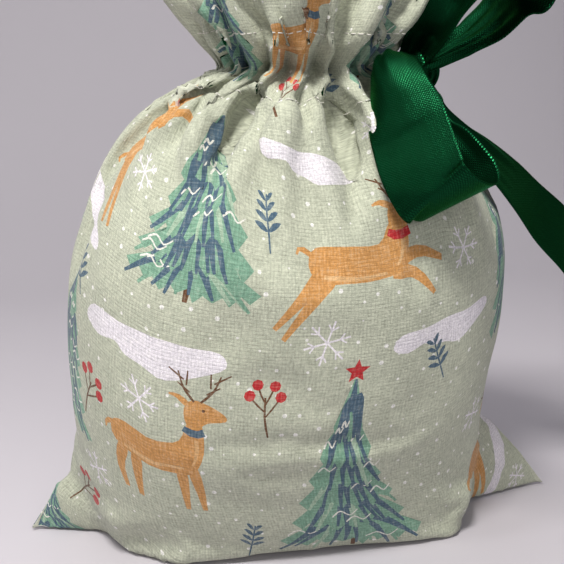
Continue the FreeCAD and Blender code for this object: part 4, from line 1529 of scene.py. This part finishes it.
def make_bow():
    """The strands out of the casing, and the knot, loops and tails."""
    ribbon_along("front_strand", FRONT_STRAND, "drawstring", "ribbon_exit_strands", rows=50, seed=3)
    ribbon_along("back_strand", BACK_STRAND, "drawstring", "ribbon_exit_strands", rows=50, seed=4)
    make_knot()
    ribbon_along("lower_loop", LOWER_LOOP, "lower_loop", "ribbon_lower_loop", rows=150, seed=5)
    ribbon_along("upper_loop", UPPER_LOOP, "upper_loop", "ribbon_upper_loop", rows=150, seed=6)
    ribbon_along("front_tail", FRONT_TAIL, "front_tail", "ribbon_front_tail", rows=130, seed=7)
    ribbon_along("back_tail", BACK_TAIL, "back_tail", "ribbon_back_tail", rows=120, seed=8)


def make_pouch():
    """Every piece, in place of the plain solids."""
    for side, word in ((FRONT, "front"), (BACK, "back")):
        nodes = (f"{word}_{part}" for part in ("panel", "casing", "casing_facing", "frill"))
        make_panel(f"{word}_panel_cloth", side, *nodes)
    make_casing_stitches()
    make_seams()
    make_ribbon_in_casing()
    make_bow()


# ---- camera, sweep and lights ----


def add_object(name, data):
    """A new object in the scene."""
    made = bpy.data.objects.new(name, data)
    bpy.context.scene.collection.objects.link(made)
    return made


def make_camera():
    """The photographer's view: close, a little from the left and from above."""
    camera = add_object("camera", bpy.data.cameras.new("camera"))
    camera.location = (-0.0602, -0.2920, 0.166)
    camera.rotation_euler = Vector((0.174, 0.950, -0.259)).to_track_quat("-Z", "Y").to_euler()
    camera.data.lens = 56.8
    camera.data.clip_start = 0.01
    bpy.context.scene.camera = camera


def make_sweep():
    """A floor that curves up into a wall behind the pouch."""
    start, radius, height, half = 0.30, 0.35, 1.6, 1.6
    profile = [(y, 0.0) for y in (-1.2, -0.4, 0.0, start)]
    for angle in np.linspace(0, math.pi / 2, 24)[1:]:
        profile.append((start + radius * math.sin(angle), radius * (1 - math.cos(angle))))
    profile.append((start + radius, height))
    across = np.linspace(-half, half, 17)
    points = [(x / MM, y / MM, z / MM) for y, z in profile for x in across]
    wide = len(across)
    faces = [
        (i * wide + k, i * wide + k + 1, (i + 1) * wide + k + 1, (i + 1) * wide + k)
        for i in range(len(profile) - 1)
        for k in range(wide - 1)
    ]
    new_piece("sweep", points, faces, ("pale_paper",))


def area_light(name, place, target, size, power, colour):
    """A soft light at a place, turned towards a target."""
    light = add_object(name, bpy.data.lights.new(name, "AREA"))
    light.location = place
    light.rotation_euler = (Vector(target) - Vector(place)).to_track_quat("-Z", "Y").to_euler()
    light.data.shape = "RECTANGLE"
    light.data.size, light.data.size_y = size
    light.data.energy = power
    light.data.color = colour


def make_lights():
    """Soft light from above and to the left, weaker fills, and one small light for the satin's gloss."""
    middle = (0, 0, 0.09)
    area_light("key", (-0.16, -0.27, 0.64), middle, (0.15, 0.13), 4.2, (1.0, 0.98, 0.93))
    area_light("front", (0.10, -0.70, 0.40), middle, (0.3, 0.3), 0.9, (1.0, 0.99, 0.96))
    area_light("fill", (0.65, -0.60, 0.40), middle, (0.7, 0.7), 0.4, (0.92, 0.96, 1.0))
    area_light("top", (-0.05, 0.10, 0.90), middle, (0.4, 0.3), 1.4, (1.0, 1.0, 1.0))
    area_light("gleam", (-0.49, -0.18, 0.42), (0.02, -0.04, 0.13), (0.06, 0.05), 0.6, (1.0, 1.0, 1.0))
    world = bpy.data.worlds.new("world")
    world.use_nodes = True
    background = world.node_tree.nodes["Background"]
    background.inputs["Color"].default_value = (0.80, 0.79, 0.84, 1.0)
    background.inputs["Strength"].default_value = 0.20
    bpy.context.scene.world = world
    bpy.context.scene.view_settings.view_transform = "Standard"


make_camera()
make_pouch()
make_sweep()
make_lights()
